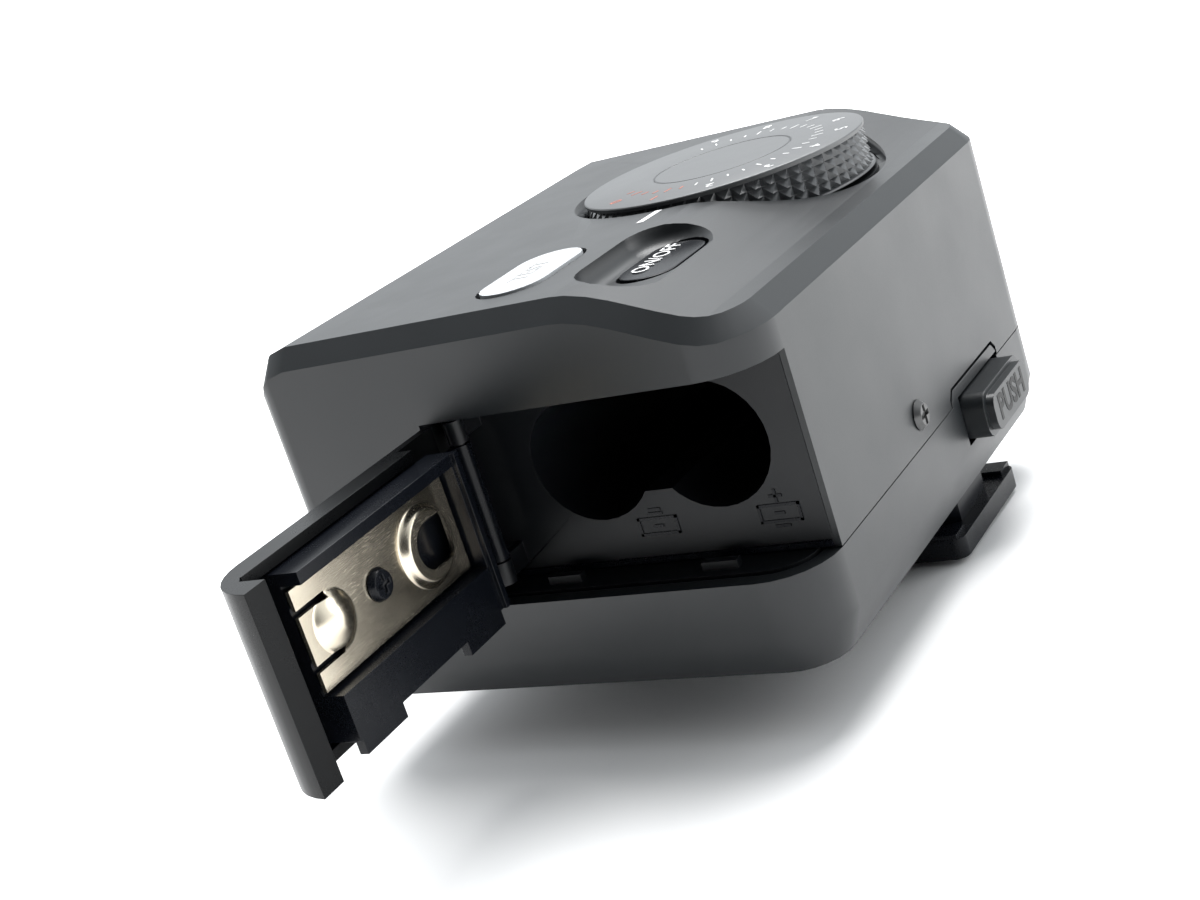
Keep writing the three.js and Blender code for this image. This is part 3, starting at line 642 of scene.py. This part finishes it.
TOP_FROM_BEHIND = {"across": (-1.0, 0.0, 0.0), "up": (0.0, -1.0, 0.0)}
BACK_FACE = {"across": (-1.0, 0.0, 0.0), "up": (0.0, 0.0, 1.0)}
BATTERY_END = {"across": (0.0, 1.0, 0.0), "up": (0.0, 0.0, 1.0)}


def prism(bm: bmesh.types.BMesh, start: Sequence[Vector], end: Sequence[Vector]) -> None:
    """Adds a closed body between two outlines.

    Args:
        bm: The bmesh to add to.
        start: Points of the first outline, in metres.
        end: Points of the second outline, in the same order.
    """
    low = [bm.verts.new(point) for point in start]
    high = [bm.verts.new(point) for point in end]
    bm.faces.new(low[::-1])
    bm.faces.new(high)
    for i in range(len(low)):
        j = (i + 1) % len(low)
        bm.faces.new((low[i], low[j], high[j], high[i]))


def stroke_outline(a: Point, b: Point, width: float) -> list[Point]:
    """Returns the outline of a straight line.

    Args:
        a: Where it starts.
        b: Where it ends.
        width: Its width, which it also reaches past each end by half.
    Returns:
        The four corners.
    """
    along = (Vector(b) - Vector(a)).normalized() * width / 2
    side = Vector((-along.y, along.x))
    start, end = Vector(a) - along, Vector(b) + along
    return [tuple(start - side), tuple(end - side), tuple(end + side), tuple(start + side)]


def strokes(
    name: str, plane: Plane, lines: Sequence[tuple[Point, Point]], width: float, height: float
) -> bpy.types.Object:
    """Makes raised straight lines on a plane.

    Args:
        name: The new piece's name.
        plane: The plane to draw on.
        lines: Pairs of end points on the plane, in millimetres.
        width: Width of each line.
        height: How far the lines stand up, and reach down.
    Returns:
        The new piece.
    """
    bm = bmesh.new()
    turn = plane.matrix()
    for a, b in lines:
        outline = stroke_outline(a, b, width)
        below, above = (
            [turn @ Vector((u * MM, v * MM, h * MM)) for u, v in outline] for h in (-height, height)
        )
        prism(bm, below, above)
    return mesh_object(name, bm)


def lettering(
    name: str, text: str, plane: Plane, size: float, height: float, bold: float = 0.0
) -> bpy.types.Object:
    """Makes raised letters, centred on a plane's origin.

    Args:
        name: The new piece's name.
        text: The word or number.
        plane: The plane to write on.
        size: Letter size in millimetres.
        height: How far the letters stand up.
        bold: How much every line is thickened on each side, in millimetres.
    Returns:
        The new piece.
    """
    curve = bpy.data.curves.new(name, "FONT")
    curve.body = text
    curve.size = size * MM
    curve.resolution_u = 3
    curve.offset = bold * MM
    curve.align_x = "CENTER"
    curve.align_y = "CENTER"
    curve.extrude = height * MM
    flat = link(name, curve)
    graph = bpy.context.evaluated_depsgraph_get()
    mesh = bpy.data.meshes.new_from_object(flat.evaluated_get(graph))
    bpy.data.objects.remove(flat)
    bpy.data.curves.remove(curve)
    mesh.transform(plane.matrix())
    bm = bmesh.new()
    bm.from_mesh(mesh)
    bpy.data.meshes.remove(mesh)
    bmesh.ops.remove_doubles(bm, verts=bm.verts, dist=LETTER_DISTANCE)
    return mesh_object(name, bm)


def merge(name: str, parts: Sequence[bpy.types.Object]) -> bpy.types.Object:
    """Joins pieces into one.

    Args:
        name: The new piece's name.
        parts: The pieces, which are removed.
    Returns:
        The new piece.
    """
    bm = bmesh.new()
    for part in parts:
        bm.from_mesh(part.data)
        discard(part)
    return mesh_object(name, bm)


# --------------------------------------------------------------------------- carried pieces


@dataclass(frozen=True)
class Carried:
    """A CAD node shown in its own shape with rounded edges."""

    node: str
    finish: Finishes
    edge_mm: float = 0.12

    def build(self) -> None:
        """Makes the visible piece."""
        place(from_node(self.node, f"{self.node}_shown", self.edge_mm), self.finish, self.node)


BODY_OF = {n: b for b, members in frame["record"]["behaviour"]["bodies"].items() for n in members}


def mark(obj: bpy.types.Object, finish: Finishes, node: str) -> None:
    """Dresses a printed or engraved mark and lets it ride with the node it lies on.

    Args:
        obj: The mark.
        finish: Its finish.
        node: The CAD node it lies on.
    """
    obj.data.materials.clear()
    obj.data.materials.append(finish.value.material())
    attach(obj, BODY_OF[node])
    LOG.info("%s: mark on %s", obj.name, node)


def stand_for(obj: bpy.types.Object, node: str) -> None:
    """Shows a piece in place of a CAD node.

    Args:
        obj: The piece.
        node: The CAD node, which also gives the body.
    """
    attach(obj, BODY_OF[node])
    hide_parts(node)
    LOG.info("%s: %d faces, rides %s", obj.name, len(obj.data.polygons), BODY_OF[node])


def place(obj: bpy.types.Object, finish: Finishes, node: str) -> None:
    """Gives a piece its finish and shows it in place of a CAD node.

    Args:
        obj: The piece.
        finish: Its finish.
        node: The CAD node.
    """
    obj.data.materials.clear()
    obj.data.materials.append(finish.value.material())
    stand_for(obj, node)


CARRIED = [
    Carried("base_tray", Finishes.SHELL, 0.25),
    Carried("shoe_foot", Finishes.BLACK, 0.2),
    Carried("base_pad", Finishes.RUBBER),
    Carried("push_button", Finishes.SHELL, 0.3),
    Carried("release_latch", Finishes.STEEL),
    Carried("rear_lift_arm", Finishes.STEEL),
    Carried("front_lift_arm", Finishes.STEEL),
    Carried("bottom_plate", Finishes.STEEL),
    Carried("back_screw", Finishes.DARK_SCREW),
    Carried("battery_box", Finishes.BOX, 0.15),
    Carried("plate_contact", Finishes.NICKEL, 0.05),
    Carried("coil_contact", Finishes.NICKEL, 0.0),
    Carried("front_window", Finishes.WINDOW, 0.1),
    Carried("reflector", Finishes.MIRROR, 0.0),
    Carried("flash_tube", Finishes.GLASS, 0.0),
    Carried("wide_panel", Finishes.WINDOW),
    Carried("main_capacitor", Finishes.SLEEVE, 0.3),
    Carried("main_board", Finishes.BOARD, 0.0),
    Carried("trigger_transformer", Finishes.TAPE),
    Carried("dial_encoder", Finishes.BLACK),
    Carried("dial_shaft", Finishes.STEEL),
    Carried("test_button", Finishes.MILK, 0.3),
    Carried("test_switch", Finishes.BLACK),
    Carried("ready_lamp", Finishes.LAMP),
    Carried("power_button", Finishes.BLACK, 0.3),
    Carried("power_switch", Finishes.BLACK),
    Carried("sensor_window", Finishes.RED_WINDOW),
    Carried("light_sensor", Finishes.BLACK),
    Carried("door_hinge_pin", Finishes.DARK_SCREW, 0.0),
    Carried("door_hinge_bracket", Finishes.BLACK),
    Carried("door_cover", Finishes.DOOR, 0.4),
    Carried("door_frame", Finishes.BLACK, 0.2),
    Carried("bridge_screw", Finishes.BLACK, 0.08),
]
CARRIED += [Carried(f"shoe_contact_{i}", Finishes.NICKEL) for i in range(1, 5)]
CARRIED += [Carried(f"foot_screw_{i}", Finishes.STEEL) for i in range(1, 3)]
CARRIED += [Carried(f"bottom_plate_screw_{i}", Finishes.STEEL) for i in range(1, 5)]
CARRIED += [
    Carried(f"{side}_arm_{end}_pin", Finishes.STEEL, 0.0)
    for side in ("rear", "front")
    for end in ("base", "body")
]


# --------------------------------------------------------------------------- knurled dial


class GeometryTree(NodeTree):
    """A Geometry Nodes tree with named inputs."""

    def __init__(self, name: str, inputs: dict[str, str]) -> None:
        """Makes an empty tree.

        Args:
            name: The tree's name.
            inputs: The type of each input, by title, beside the geometry.
        """
        super().__init__(bpy.data.node_groups.new(name, "GeometryNodeTree"))
        interface = self.tree.interface
        interface.new_socket("Geometry", in_out="OUTPUT", socket_type="NodeSocketGeometry")
        interface.new_socket("Geometry", in_out="INPUT", socket_type="NodeSocketGeometry")
        for title, kind in inputs.items():
            interface.new_socket(title, in_out="INPUT", socket_type=kind)
        self.source = self.tree.nodes.new("NodeGroupInput")
        self.sink = self.tree.nodes.new("NodeGroupOutput")

    def given(self, title: str) -> Socket:
        """Returns one of the tree's inputs."""
        return Socket(self, self.source.outputs[title])

    def moved(self, geometry: Socket, **how: object) -> Socket:
        """Rotates or scales a geometry."""
        return self.node("GeometryNodeTransform", "Geometry", Geometry=geometry, **how)

    def vector(self, **parts: object) -> Socket:
        """Joins X, Y and Z into a vector."""
        return self.node("ShaderNodeCombineXYZ", "Vector", **parts)

    def copies(self, points: Socket, shape: Socket, **how: object) -> Socket:
        """Puts a copy of a shape on every point."""
        kind = "GeometryNodeInstanceOnPoints"
        return self.node(kind, "Instances", Points=points, Instance=shape, **how)

    def finish(self, *parts: Socket) -> None:
        """Joins geometries into the tree's result.

        Args:
            parts: The geometries.
        """
        both = self.tree.nodes.new("GeometryNodeJoinGeometry")
        for part in parts:
            self.tree.links.new(part.output, both.inputs["Geometry"])
        self.feed(self.sink.inputs["Geometry"], Socket(self, both.outputs["Geometry"]))

    def apply(self, obj: bpy.types.Object, values: dict[str, object]) -> None:
        """Runs the tree on an object, keeps the plain mesh and removes the tree.

        Args:
            obj: The mesh object.
            values: A value for each input, by title.
        """
        modifier = obj.modifiers.new(self.tree.name, "NODES")
        modifier.node_group = self.tree
        for item in self.tree.interface.items_tree:
            if item.item_type == "SOCKET" and item.in_out == "INPUT" and item.name in values:
                modifier[item.identifier] = values[item.name]
        bake(obj)
        bpy.data.node_groups.remove(self.tree)


@dataclass
class Dial:
    """The output dial: a turned core with rows of pyramid teeth, and its marks."""

    centre: Vector = field(default_factory=lambda: Vector((-11.0, -19.9)))
    radius: float = 14.7
    rim: float = 0.5
    top: float = 36.77
    bottom: float = 32.4
    root: float = 14.0
    flange: float = 0.2
    circle: float = 7.2
    teeth: int = 60
    rows: int = 4
    lean: float = -0.46  # how far a tooth's tip moves up, in row pitches
    number_radius: float = 12.6
    number_size: float = 1.9
    first_number: float = -35.0  # the place of 0, in degrees
    number_step: float = 27.0
    tick_radius: float = 10.2
    tick_width: float = 0.16
    print_height: float = 0.02

    def profile(self) -> list[Point]:
        """Returns the core's half section, from the axis over the top to the axis below."""
        r, top, bottom = self.radius, self.top, self.bottom
        foot = bottom + self.flange
        groove = 0.14
        wall, hub, bore = 12.0, 4.0, 2.7
        roof = bottom + 2.2
        disc = [
            (0.0, top),
            (self.circle - groove, top),
            (self.circle, top - groove),
            (self.circle + groove, top),
            (r - 0.2, top),
            (r - 0.06, top - 0.05),
            (r, top - 0.16),
            (r - 0.06, top - self.rim),
            (self.root, top - self.rim - 0.1),
        ]
        flange = [
            (self.root, foot + 0.1),
            (r + 0.1, foot),
            (r + 0.2, foot - 0.15),
            (r + 0.2, bottom),
        ]
        inside = [
            (wall, bottom),
            (wall, roof),
            (hub, roof),
            (hub, bottom),
            (bore, bottom),
            (bore, roof + 0.2),
            (0.0, roof + 0.2),
        ]
        return disc + flange + inside

    def tooth_tree(self) -> GeometryTree:
        """Builds the tree that sets teeth round the core.

        A leaning pyramid is copied round a circle, and that ring is copied along a line of rows.

        Returns:
            The tree, ready to be applied.
        """
        g = GeometryTree("knurl_rows", {
            "Centre": "NodeSocketVector",
            "Row": "NodeSocketVector",
            "Radius": "NodeSocketFloat",
            "Teeth": "NodeSocketInt",
            "Rows": "NodeSocketInt",
            "Tooth": "NodeSocketVector",
            "Lean": "NodeSocketFloat",
            "Finish": "NodeSocketMaterial",
        })
        pyramid = g.node(
            "GeometryNodeMeshCone", "Mesh", {"fill_type": "NGON"},
            Vertices=4, Radius_Top=0.0, Radius_Bottom=math.sqrt(0.5), Depth=1.0,
        )
        square = g.moved(pyramid, Rotation=(0.0, 0.0, math.pi / 4))
        sized = g.moved(square, Scale=g.given("Tooth"))
        outward = g.moved(sized, Rotation=(0.0, math.pi / 2, 0.0))
        position = g.node("GeometryNodeInputPosition", "Position")
        depth = g.node("ShaderNodeSeparateXYZ", "X", Vector=position)
        shear = g.vector(Z=depth * g.given("Lean"))
        leaning = g.node(
            "GeometryNodeSetPosition", "Geometry", Geometry=outward, Offset=shear
        )
        ring = g.node(
            "GeometryNodeMeshCircle", "Mesh", Vertices=g.given("Teeth"), Radius=g.given("Radius")
        )
        index = g.node("GeometryNodeInputIndex", "Index")
        turn = g.vector(Z=index * (2 * math.pi / g.given("Teeth")))
        band = g.copies(ring, leaning, Rotation=turn)
        line = g.node(
            "GeometryNodeMeshLine", "Mesh", Count=g.given("Rows"),
            Start_Location=g.given("Centre"), Offset=g.given("Row"),
        )
        plain = g.node("GeometryNodeRealizeInstances", "Geometry", Geometry=g.copies(line, band))
        dressed = g.node(
            "GeometryNodeSetMaterial", "Geometry", Geometry=plain, Material=g.given("Finish")
        )
        g.finish(dressed, g.given("Geometry"))
        return g

    def build(self) -> None:
        """Makes the dial and its marks."""
        bm = bmesh.new()
        lathe(bm, self.centre, self.profile(), 120)
        dial = mesh_object("dial_knurled", bm, 25.0)
        dial.data.materials.append(Finishes.DIAL.value.material())
        low = self.bottom + self.flange
        pitch = (self.top - self.rim - low) / self.rows
        width = 2 * math.pi * self.radius / self.teeth
        depth = self.radius - self.root
        sunk = 0.05
        self.tooth_tree().apply(dial, {
            "Centre": at(self.centre.x, self.centre.y, low + pitch / 2),
            "Row": (0.0, 0.0, pitch * MM),
            "Radius": (self.root - sunk) * MM,
            "Teeth": self.teeth,
            "Rows": self.rows,
            "Tooth": (pitch * MM, width * MM, depth * MM),
            "Lean": self.lean * pitch / depth,
            "Finish": Finishes.KNURL.value.material(),
        })
        stand_for(dial, "dial")
        self.build_marks()

    def plane(self, radius: float, degrees: float) -> Plane:
        """Returns a plane on the dial's face, with its up side away from the centre.

        Args:
            radius: How far its origin is from the centre.
            degrees: The angle round the dial.
        """
        angle = math.radians(degrees)
        along, side = math.cos(angle), math.sin(angle)
        spot = (self.centre.x + radius * along, self.centre.y + radius * side, self.top)
        return Plane(spot, (side, -along, 0.0), (along, side, 0.0))

    def build_marks(self) -> None:
        """Prints numbers and ticks on the dial's face."""
        white, red = [], []
        height = self.print_height
        third = self.number_step / 3
        for i in range(10):
            angle = self.first_number + self.number_step * i
            group = red if i < 2 else white
            spot = self.plane(self.number_radius, angle)
            group.append(lettering(f"number_{i}", str(i), spot, self.number_size, height))
            for offset, half in ((-third, 0.35), (0.0, 0.55), (third, 0.35)):
                spot = self.plane(self.tick_radius, angle + offset)
                line = [((0.0, -half), (0.0, half))]
                group.append(strokes(f"tick_{i}", spot, line, self.tick_width, height))
        mark(merge("dial_numbers", white), Finishes.PRINT, "dial")
        mark(merge("dial_numbers_red", red), Finishes.RED_PRINT, "dial")


# --------------------------------------------------------------------------- shell and its marks


@dataclass
class Shell:
    """The upper shell with the groove round the dial and the dial's index mark."""

    dial: Dial
    groove_radius: float = 15.45
    groove_width: float = 0.9
    groove_depth: float = 0.9
    top: float = 36.2

    def build(self) -> None:
        """Makes the shell."""
        shell = from_node("upper_shell", "upper_shell_shown", 0.2)
        carve(shell, [self.groove(shell)])
        finish_mesh(shell)
        even_shading(shell)
        place(shell, Finishes.SHELL, "upper_shell")
        spot = Plane((6.9, -19.7, self.top), **TOP_FROM_BEHIND)
        index = strokes("dial_index", spot, [((-1.5, 0.1), (1.5, -0.1))], 0.75, 0.03)
        mark(index, Finishes.PRINT, "upper_shell")

    def groove(self, shell: bpy.types.Object) -> bpy.types.Object:
        """Makes a ring that follows the sloping top, to be cut out as a step round the pocket.

        Args:
            shell: The shell, which is probed from above for its height.
        Returns:
            The ring.
        """
        steps, above = 120, 40.0
        down = Vector((0.0, 0.0, -1.0))
        low, high = -self.groove_depth, 1.0
        inner = self.groove_radius - self.groove_width / 2
        outer = self.groove_radius + self.groove_width / 2
        bm = bmesh.new()
        rings = []
        for i in range(steps):
            angle = 2 * math.pi * i / steps
            probe = on_circle(self.dial.centre, self.groove_radius, angle, above)
            _, hit, _, _ = shell.ray_cast(probe, down)
            corners = []
            for r, lift in ((inner, low), (outer, low), (outer, high), (inner, high)):
                corner = on_circle(self.dial.centre, r, angle, 0.0)
                corner.z = hit.z + lift * MM
                corners.append(bm.verts.new(corner))
            rings.append(corners)
        for i in range(steps):
            here, there = rings[i], rings[(i + 1) % steps]
            for k in range(4):
                n = (k + 1) % 4
                bm.faces.new((here[k], there[k], there[n], here[n]))
        return mesh_object("dial_groove", bm)


@dataclass
class Labels:
    """Plain function words and the signs beside the bores."""

    plate_x: float = 26.4
    lip_z: float = 9.75
    sign_z: float = 12.9
    sign_width: float = 0.26

    def build(self) -> None:
        """Makes every label."""
        test = Plane((20.6, -25.1, 36.4), **TOP_FROM_BEHIND)
        mark(lettering("test_word", "TEST", test, 2.6, 0.03), Finishes.FAINT, "test_button")
        power = Plane((16.9, -14.4, 34.47), (-1.0, 0.0, 0.0), (0.0, -0.998, 0.058))
        mark(lettering("power_word", "ON/OFF", power, 2.3, 0.04), Finishes.PRINT, "power_button")
        push = Plane((-12.6, 3.0, 7.0), **BACK_FACE)
        # The PUSH letters are dark as painted shade for the grooves of the engraving.
        word = lettering("push_word", "PUSH", push, 3.5, 0.03, 0.11)
        mark(word, Finishes.ENGRAVED, "push_button")
        lip = Plane((self.plate_x, -17.2, self.lip_z), **BATTERY_END)
        edge = strokes("plate_lip", lip, [((-16.0, 0.0), (16.2, 0.0))], 0.5, 0.35)
        mark(edge, Finishes.BLACK, "battery_box")
        signs = [self.cell_sign(-4.8, True), self.cell_sign(-16.8, False)]
        mark(merge("polarity_signs", signs), Finishes.BLACK, "battery_box")

    def cell_sign(self, y: float, plus_up: bool) -> bpy.types.Object:
        """Draws the outline of a cell with its signs.

        Args:
            y: Where its middle is.
            plus_up: Whether the plus end is on the upper side.
        Returns:
            The drawing.
        """
        plane = Plane((self.plate_x, y, self.sign_z), **BATTERY_END)
        w, h = 1.9, 0.75
        side = -1.2 if plus_up else 1.2
        lines = [
            ((-w, -h), (w, -h)),
            ((w, -h), (w, h)),
            ((w, h), (-w, h)),
            ((-w, h), (-w, -h)),
            ((-0.5, 1.6), (0.5, 1.6)),
            ((-0.35, 0.0), (0.35, 0.0)),
        ]
        if plus_up:
            lines.append(((0.0, 1.1), (0.0, 2.1)))
        lines.append(((-0.6, side), (0.6, side)))
        return strokes("cell_sign", plane, lines, self.sign_width, 0.1)


# --------------------------------------------------------------------------- bridge contact


@dataclass
class BridgeContact:
    """The embossed sheet in the door that joins the two cells.

    Sizes are those of the closed door, where the sheet stands upright and faces the cells.
    """

    hinge_x: float = 30.5
    hinge_y: float = -31.6
    slide: float = 3.4
    face: float = 28.4
    thick: float = 0.35
    y0: float = -28.0
    y1: float = -6.0
    z0: float = 15.5
    z1: float = 24.3
    middle: float = 19.9
    dome_y: float = -9.7
    dome_r: float = 2.5
    dome_h: float = 1.0
    ring_y: float = -23.2
    ring_r: float = 3.7
    ring_h: float = 0.75
    ring_slope: float = 0.7
    hole_r: float = 2.1
    hole_end: float = 2.6
    screw_y: float = -15.9
    screw_r: float = 0.8
    finger_length: float = 3.6
    finger_gap: float = 0.6
    columns: int = 176
    rows: int = 72

    def opened(self, x: float, y: float, z: float) -> Vector:
        """Takes a point of the closed door to its place on the open, drawn-out door.

        Args:
            x: Its distance from the body's middle, on the closed door.
            y: Its place along the closed door.
            z: Its height.
        Returns:
            The point in metres.
        """
        out = self.hinge_x + y - self.hinge_y + self.slide
        return at(out, self.hinge_y - (x - self.hinge_x), z)

    def height(self, y: float, z: float) -> float:
        """Returns how far the sheet is pressed out at a place, in millimetres.

        Args:
            y: The place along the sheet.
            z: Its height.
        """
        dome = math.hypot(y - self.dome_y, z - self.middle)
        sphere = (self.dome_r**2 + self.dome_h**2) / (2 * self.dome_h)
        if dome < self.dome_r:
            return math.sqrt(sphere**2 - dome**2) - sphere + self.dome_h
        ring = math.hypot(y - self.ring_y, z - self.middle)
        t = min(1.0, max(0.0, (self.ring_r - ring) / self.ring_slope))
        return self.ring_h * t * t * (3 - 2 * t)

    def cutter(self, outline: Sequence[Point]) -> bpy.types.Object:
        """Makes a closed prism through the sheet.

        Args:
            outline: Its outline in y and z.
        Returns:
            The prism.
        """
        behind, front = (
            [self.opened(x, y, z) for y, z in outline] for x in (self.face - 3, self.face + 2)
        )
        bm = bmesh.new()
        prism(bm, behind, front)
        return mesh_object("sheet_cut", bm)

    def arc(self, y: float, radius: float, start: float, end: float, steps: int) -> list[Point]:
        """Returns points on an arc about a place on the sheet's middle line.

        Args:
            y: Where the arc's centre is.
            radius: Its radius.
            start: Where it starts, in degrees.
            end: Where it ends, in degrees.
            steps: How many pieces it has.
        """
        turn = [math.radians(start + (end - start) * i / steps) for i in range(steps + 1)]
        return [(y + radius * math.cos(a), self.middle + radius * math.sin(a)) for a in turn]

    def openings(self) -> list[list[Point]]:
        """Returns the outlines of the ring's hole, the screw hole and the two finger gaps."""
        hole = self.arc(self.ring_y, self.hole_r, -90.0, 90.0, 24)
        flat = self.ring_y - self.hole_end
        hole += [(flat, self.middle + self.hole_r), (flat, self.middle - self.hole_r)]
        screw = self.arc(self.screw_y, self.screw_r, 0.0, 345.0, 23)
        inner, outer = self.y1 - self.finger_length, self.y1 + 1
        gaps = []
        for z in (self.middle - 2.7, self.middle + 2.1):
            top = z + self.finger_gap
            gaps.append([(inner, z), (outer, z), (outer, top), (inner, top)])
        return [hole, screw, *gaps]

    def flat_sheet(self) -> bpy.types.Object:
        """Makes the sheet as a fine flat grid with a thickness.

        Returns:
            The sheet.
        """
        bm = bmesh.new()
        grid = []
        for i in range(self.columns + 1):
            y = self.y0 + (self.y1 - self.y0) * i / self.columns
            rise = (self.z1 - self.z0) / self.rows
            heights = [self.z0 + rise * j for j in range(self.rows + 1)]
            grid.append([bm.verts.new(self.opened(self.face, y, z)) for z in heights])
        for left, right in zip(grid, grid[1:]):
            for j in range(self.rows):
                bm.faces.new((left[j], right[j], right[j + 1], left[j + 1]))
        sheet = mesh_object("bridge_contact_shown", bm)
        faces_back = sheet.data.polygons[0].normal.y > 0
        solid = sheet.modifiers.new("thickness", "SOLIDIFY")
        solid.thickness = self.thick * MM
        solid.offset = -1.0 if faces_back else 1.0
        bake(sheet)
        turn_out(sheet)
        return sheet

    def build(self) -> None:
        """Makes the sheet, cuts it while it is flat, then presses the dome and the ring out."""
        sheet = self.flat_sheet()
        carve(sheet, [self.cutter(outline) for outline in self.openings()])
        start = self.opened(self.face, 0.0, 0.0)
        for vertex in sheet.data.vertices:
            y, z = (vertex.co.x - start.x) / MM, (vertex.co.z - start.z) / MM
            vertex.co.y += self.height(y, z) * MM
        finish_mesh(sheet, 40.0)
        place(sheet, Finishes.NICKEL, "bridge_contact")


# --------------------------------------------------------------------------- studio


@dataclass(frozen=True)
class Camera:
    """Where the camera stands and how it is turned."""

    location: Vector = field(default_factory=lambda: at(160.07, 68.51, 67.78))
    right: Vector = field(default_factory=lambda: Vector((-0.45183, 0.83989, -0.30073)))
    up: Vector = field(default_factory=lambda: Vector((-0.39627, 0.11307, 0.91115)))
    lens_mm: float = 56.84
    sensor_mm: float = 36.0

    def build(self) -> None:
        """Adds the camera and looks through it."""
        data = bpy.data.cameras.new("camera")
        data.lens = self.lens_mm
        data.sensor_width = self.sensor_mm
        data.clip_start = 0.005
        data.clip_end = 50.0
        obj = link("camera", data)
        back = self.right.cross(self.up)
        turn = Matrix((self.right, self.up, back)).transposed().to_4x4()
        obj.matrix_world = Matrix.Translation(self.location) @ turn
        bpy.context.scene.camera = obj


@dataclass(frozen=True)
class SoftBox:
    """A large round soft light that faces the object."""

    name: str
    position: tuple[float, float, float]
    size: float
    power: float

    def build(self) -> None:
        """Adds the light."""
        data = bpy.data.lights.new(self.name, "AREA")
        data.shape = "DISK"
        data.size = self.size
        data.energy = self.power
        obj = link(self.name, data)
        obj.location = self.position
        obj.rotation_mode = "QUATERNION"
        obj.rotation_quaternion = Vector(self.position).to_track_quat("Z", "Y")


LIGHTS = [
    SoftBox("overhead_light", (-0.4, -0.05, 0.95), 0.8, 21.0),
    SoftBox("rear_light", (-0.7, 1.0, 0.4), 0.8, 4.0),
]
FLOOR_RADIUS = 6.0
FLOOR_HEIGHT = -0.0006  # just below the shoe contacts' tips
GLOW_START = 0.035  # where the floor starts to glow, in metres from the foot
GLOW_END = 0.2


def build_world() -> None:
    """Surrounds the object with cool white that dims toward the battery end."""
    world = bpy.data.worlds.new("surroundings")
    bpy.context.scene.world = world
    world.use_nodes = True
    g = NodeTree(world.node_tree)
    direction = g.node("ShaderNodeTexCoord", "Generated")
    along = g.node("ShaderNodeSeparateXYZ", "X", Vector=direction)
    level = g.node(
        "ShaderNodeMapRange", "Result", {"interpolation_type": "SMOOTHSTEP"},
        Value=along, From_Min=-0.3, From_Max=0.75, To_Min=1.3, To_Max=0.03,
    )
    background = world.node_tree.nodes["Background"]
    g.feed(background.inputs["Color"], (0.93, 0.97, 1.0, 1.0))
    g.feed(background.inputs["Strength"], level)


def build_floor() -> None:
    """Makes a pale round table that glows softly away from the object, painted light that leaves
    the floor darker round the object.
    """
    bm = bmesh.new()
    bmesh.ops.create_circle(bm, cap_ends=True, segments=96, radius=FLOOR_RADIUS)
    mesh = bpy.data.meshes.new("floor")
    bm.to_mesh(mesh)
    bm.free()
    floor = link("floor", mesh)
    floor.location = (0.0, 0.0, FLOOR_HEIGHT)
    paper = bpy.data.materials.new("pale_paper")
    g = Graph(paper)
    distance = g.node(
        "ShaderNodeVectorMath", "Value", {"operation": "LENGTH"}, Vector=g.position
    )
    # Painted light: the floor's glow grows with distance from the object, so the floor stays darker
    # near it.
    glow = g.ramp(distance, GLOW_START, GLOW_END, 0.0, 1.0)
    g.set(
        Base_Color=g.mix(g.noise(60.0, 3.0), grey(0.88), grey(0.92)),
        Roughness=0.8,
        Emission_Color=g.mix(glow, grey(0.0), grey(0.62)),
        Emission_Strength=1.0,
    )
    mesh.materials.append(paper)


def build_studio() -> None:
    """Makes the floor, the surroundings and the lights."""
    build_world()
    build_floor()
    for light in LIGHTS:
        light.build()
    bpy.context.scene.view_settings.view_transform = "Standard"


def main() -> None:
    """Builds every piece, then the studio."""
    logging.basicConfig(level=logging.INFO, format="%(name)s: %(message)s")
    for item in CARRIED:
        item.build()
    dial = Dial()
    dial.build()
    Shell(dial).build()
    Labels().build()
    BridgeContact().build()
    build_studio()
    Camera().build()


if __name__ == "__main__":
    main()
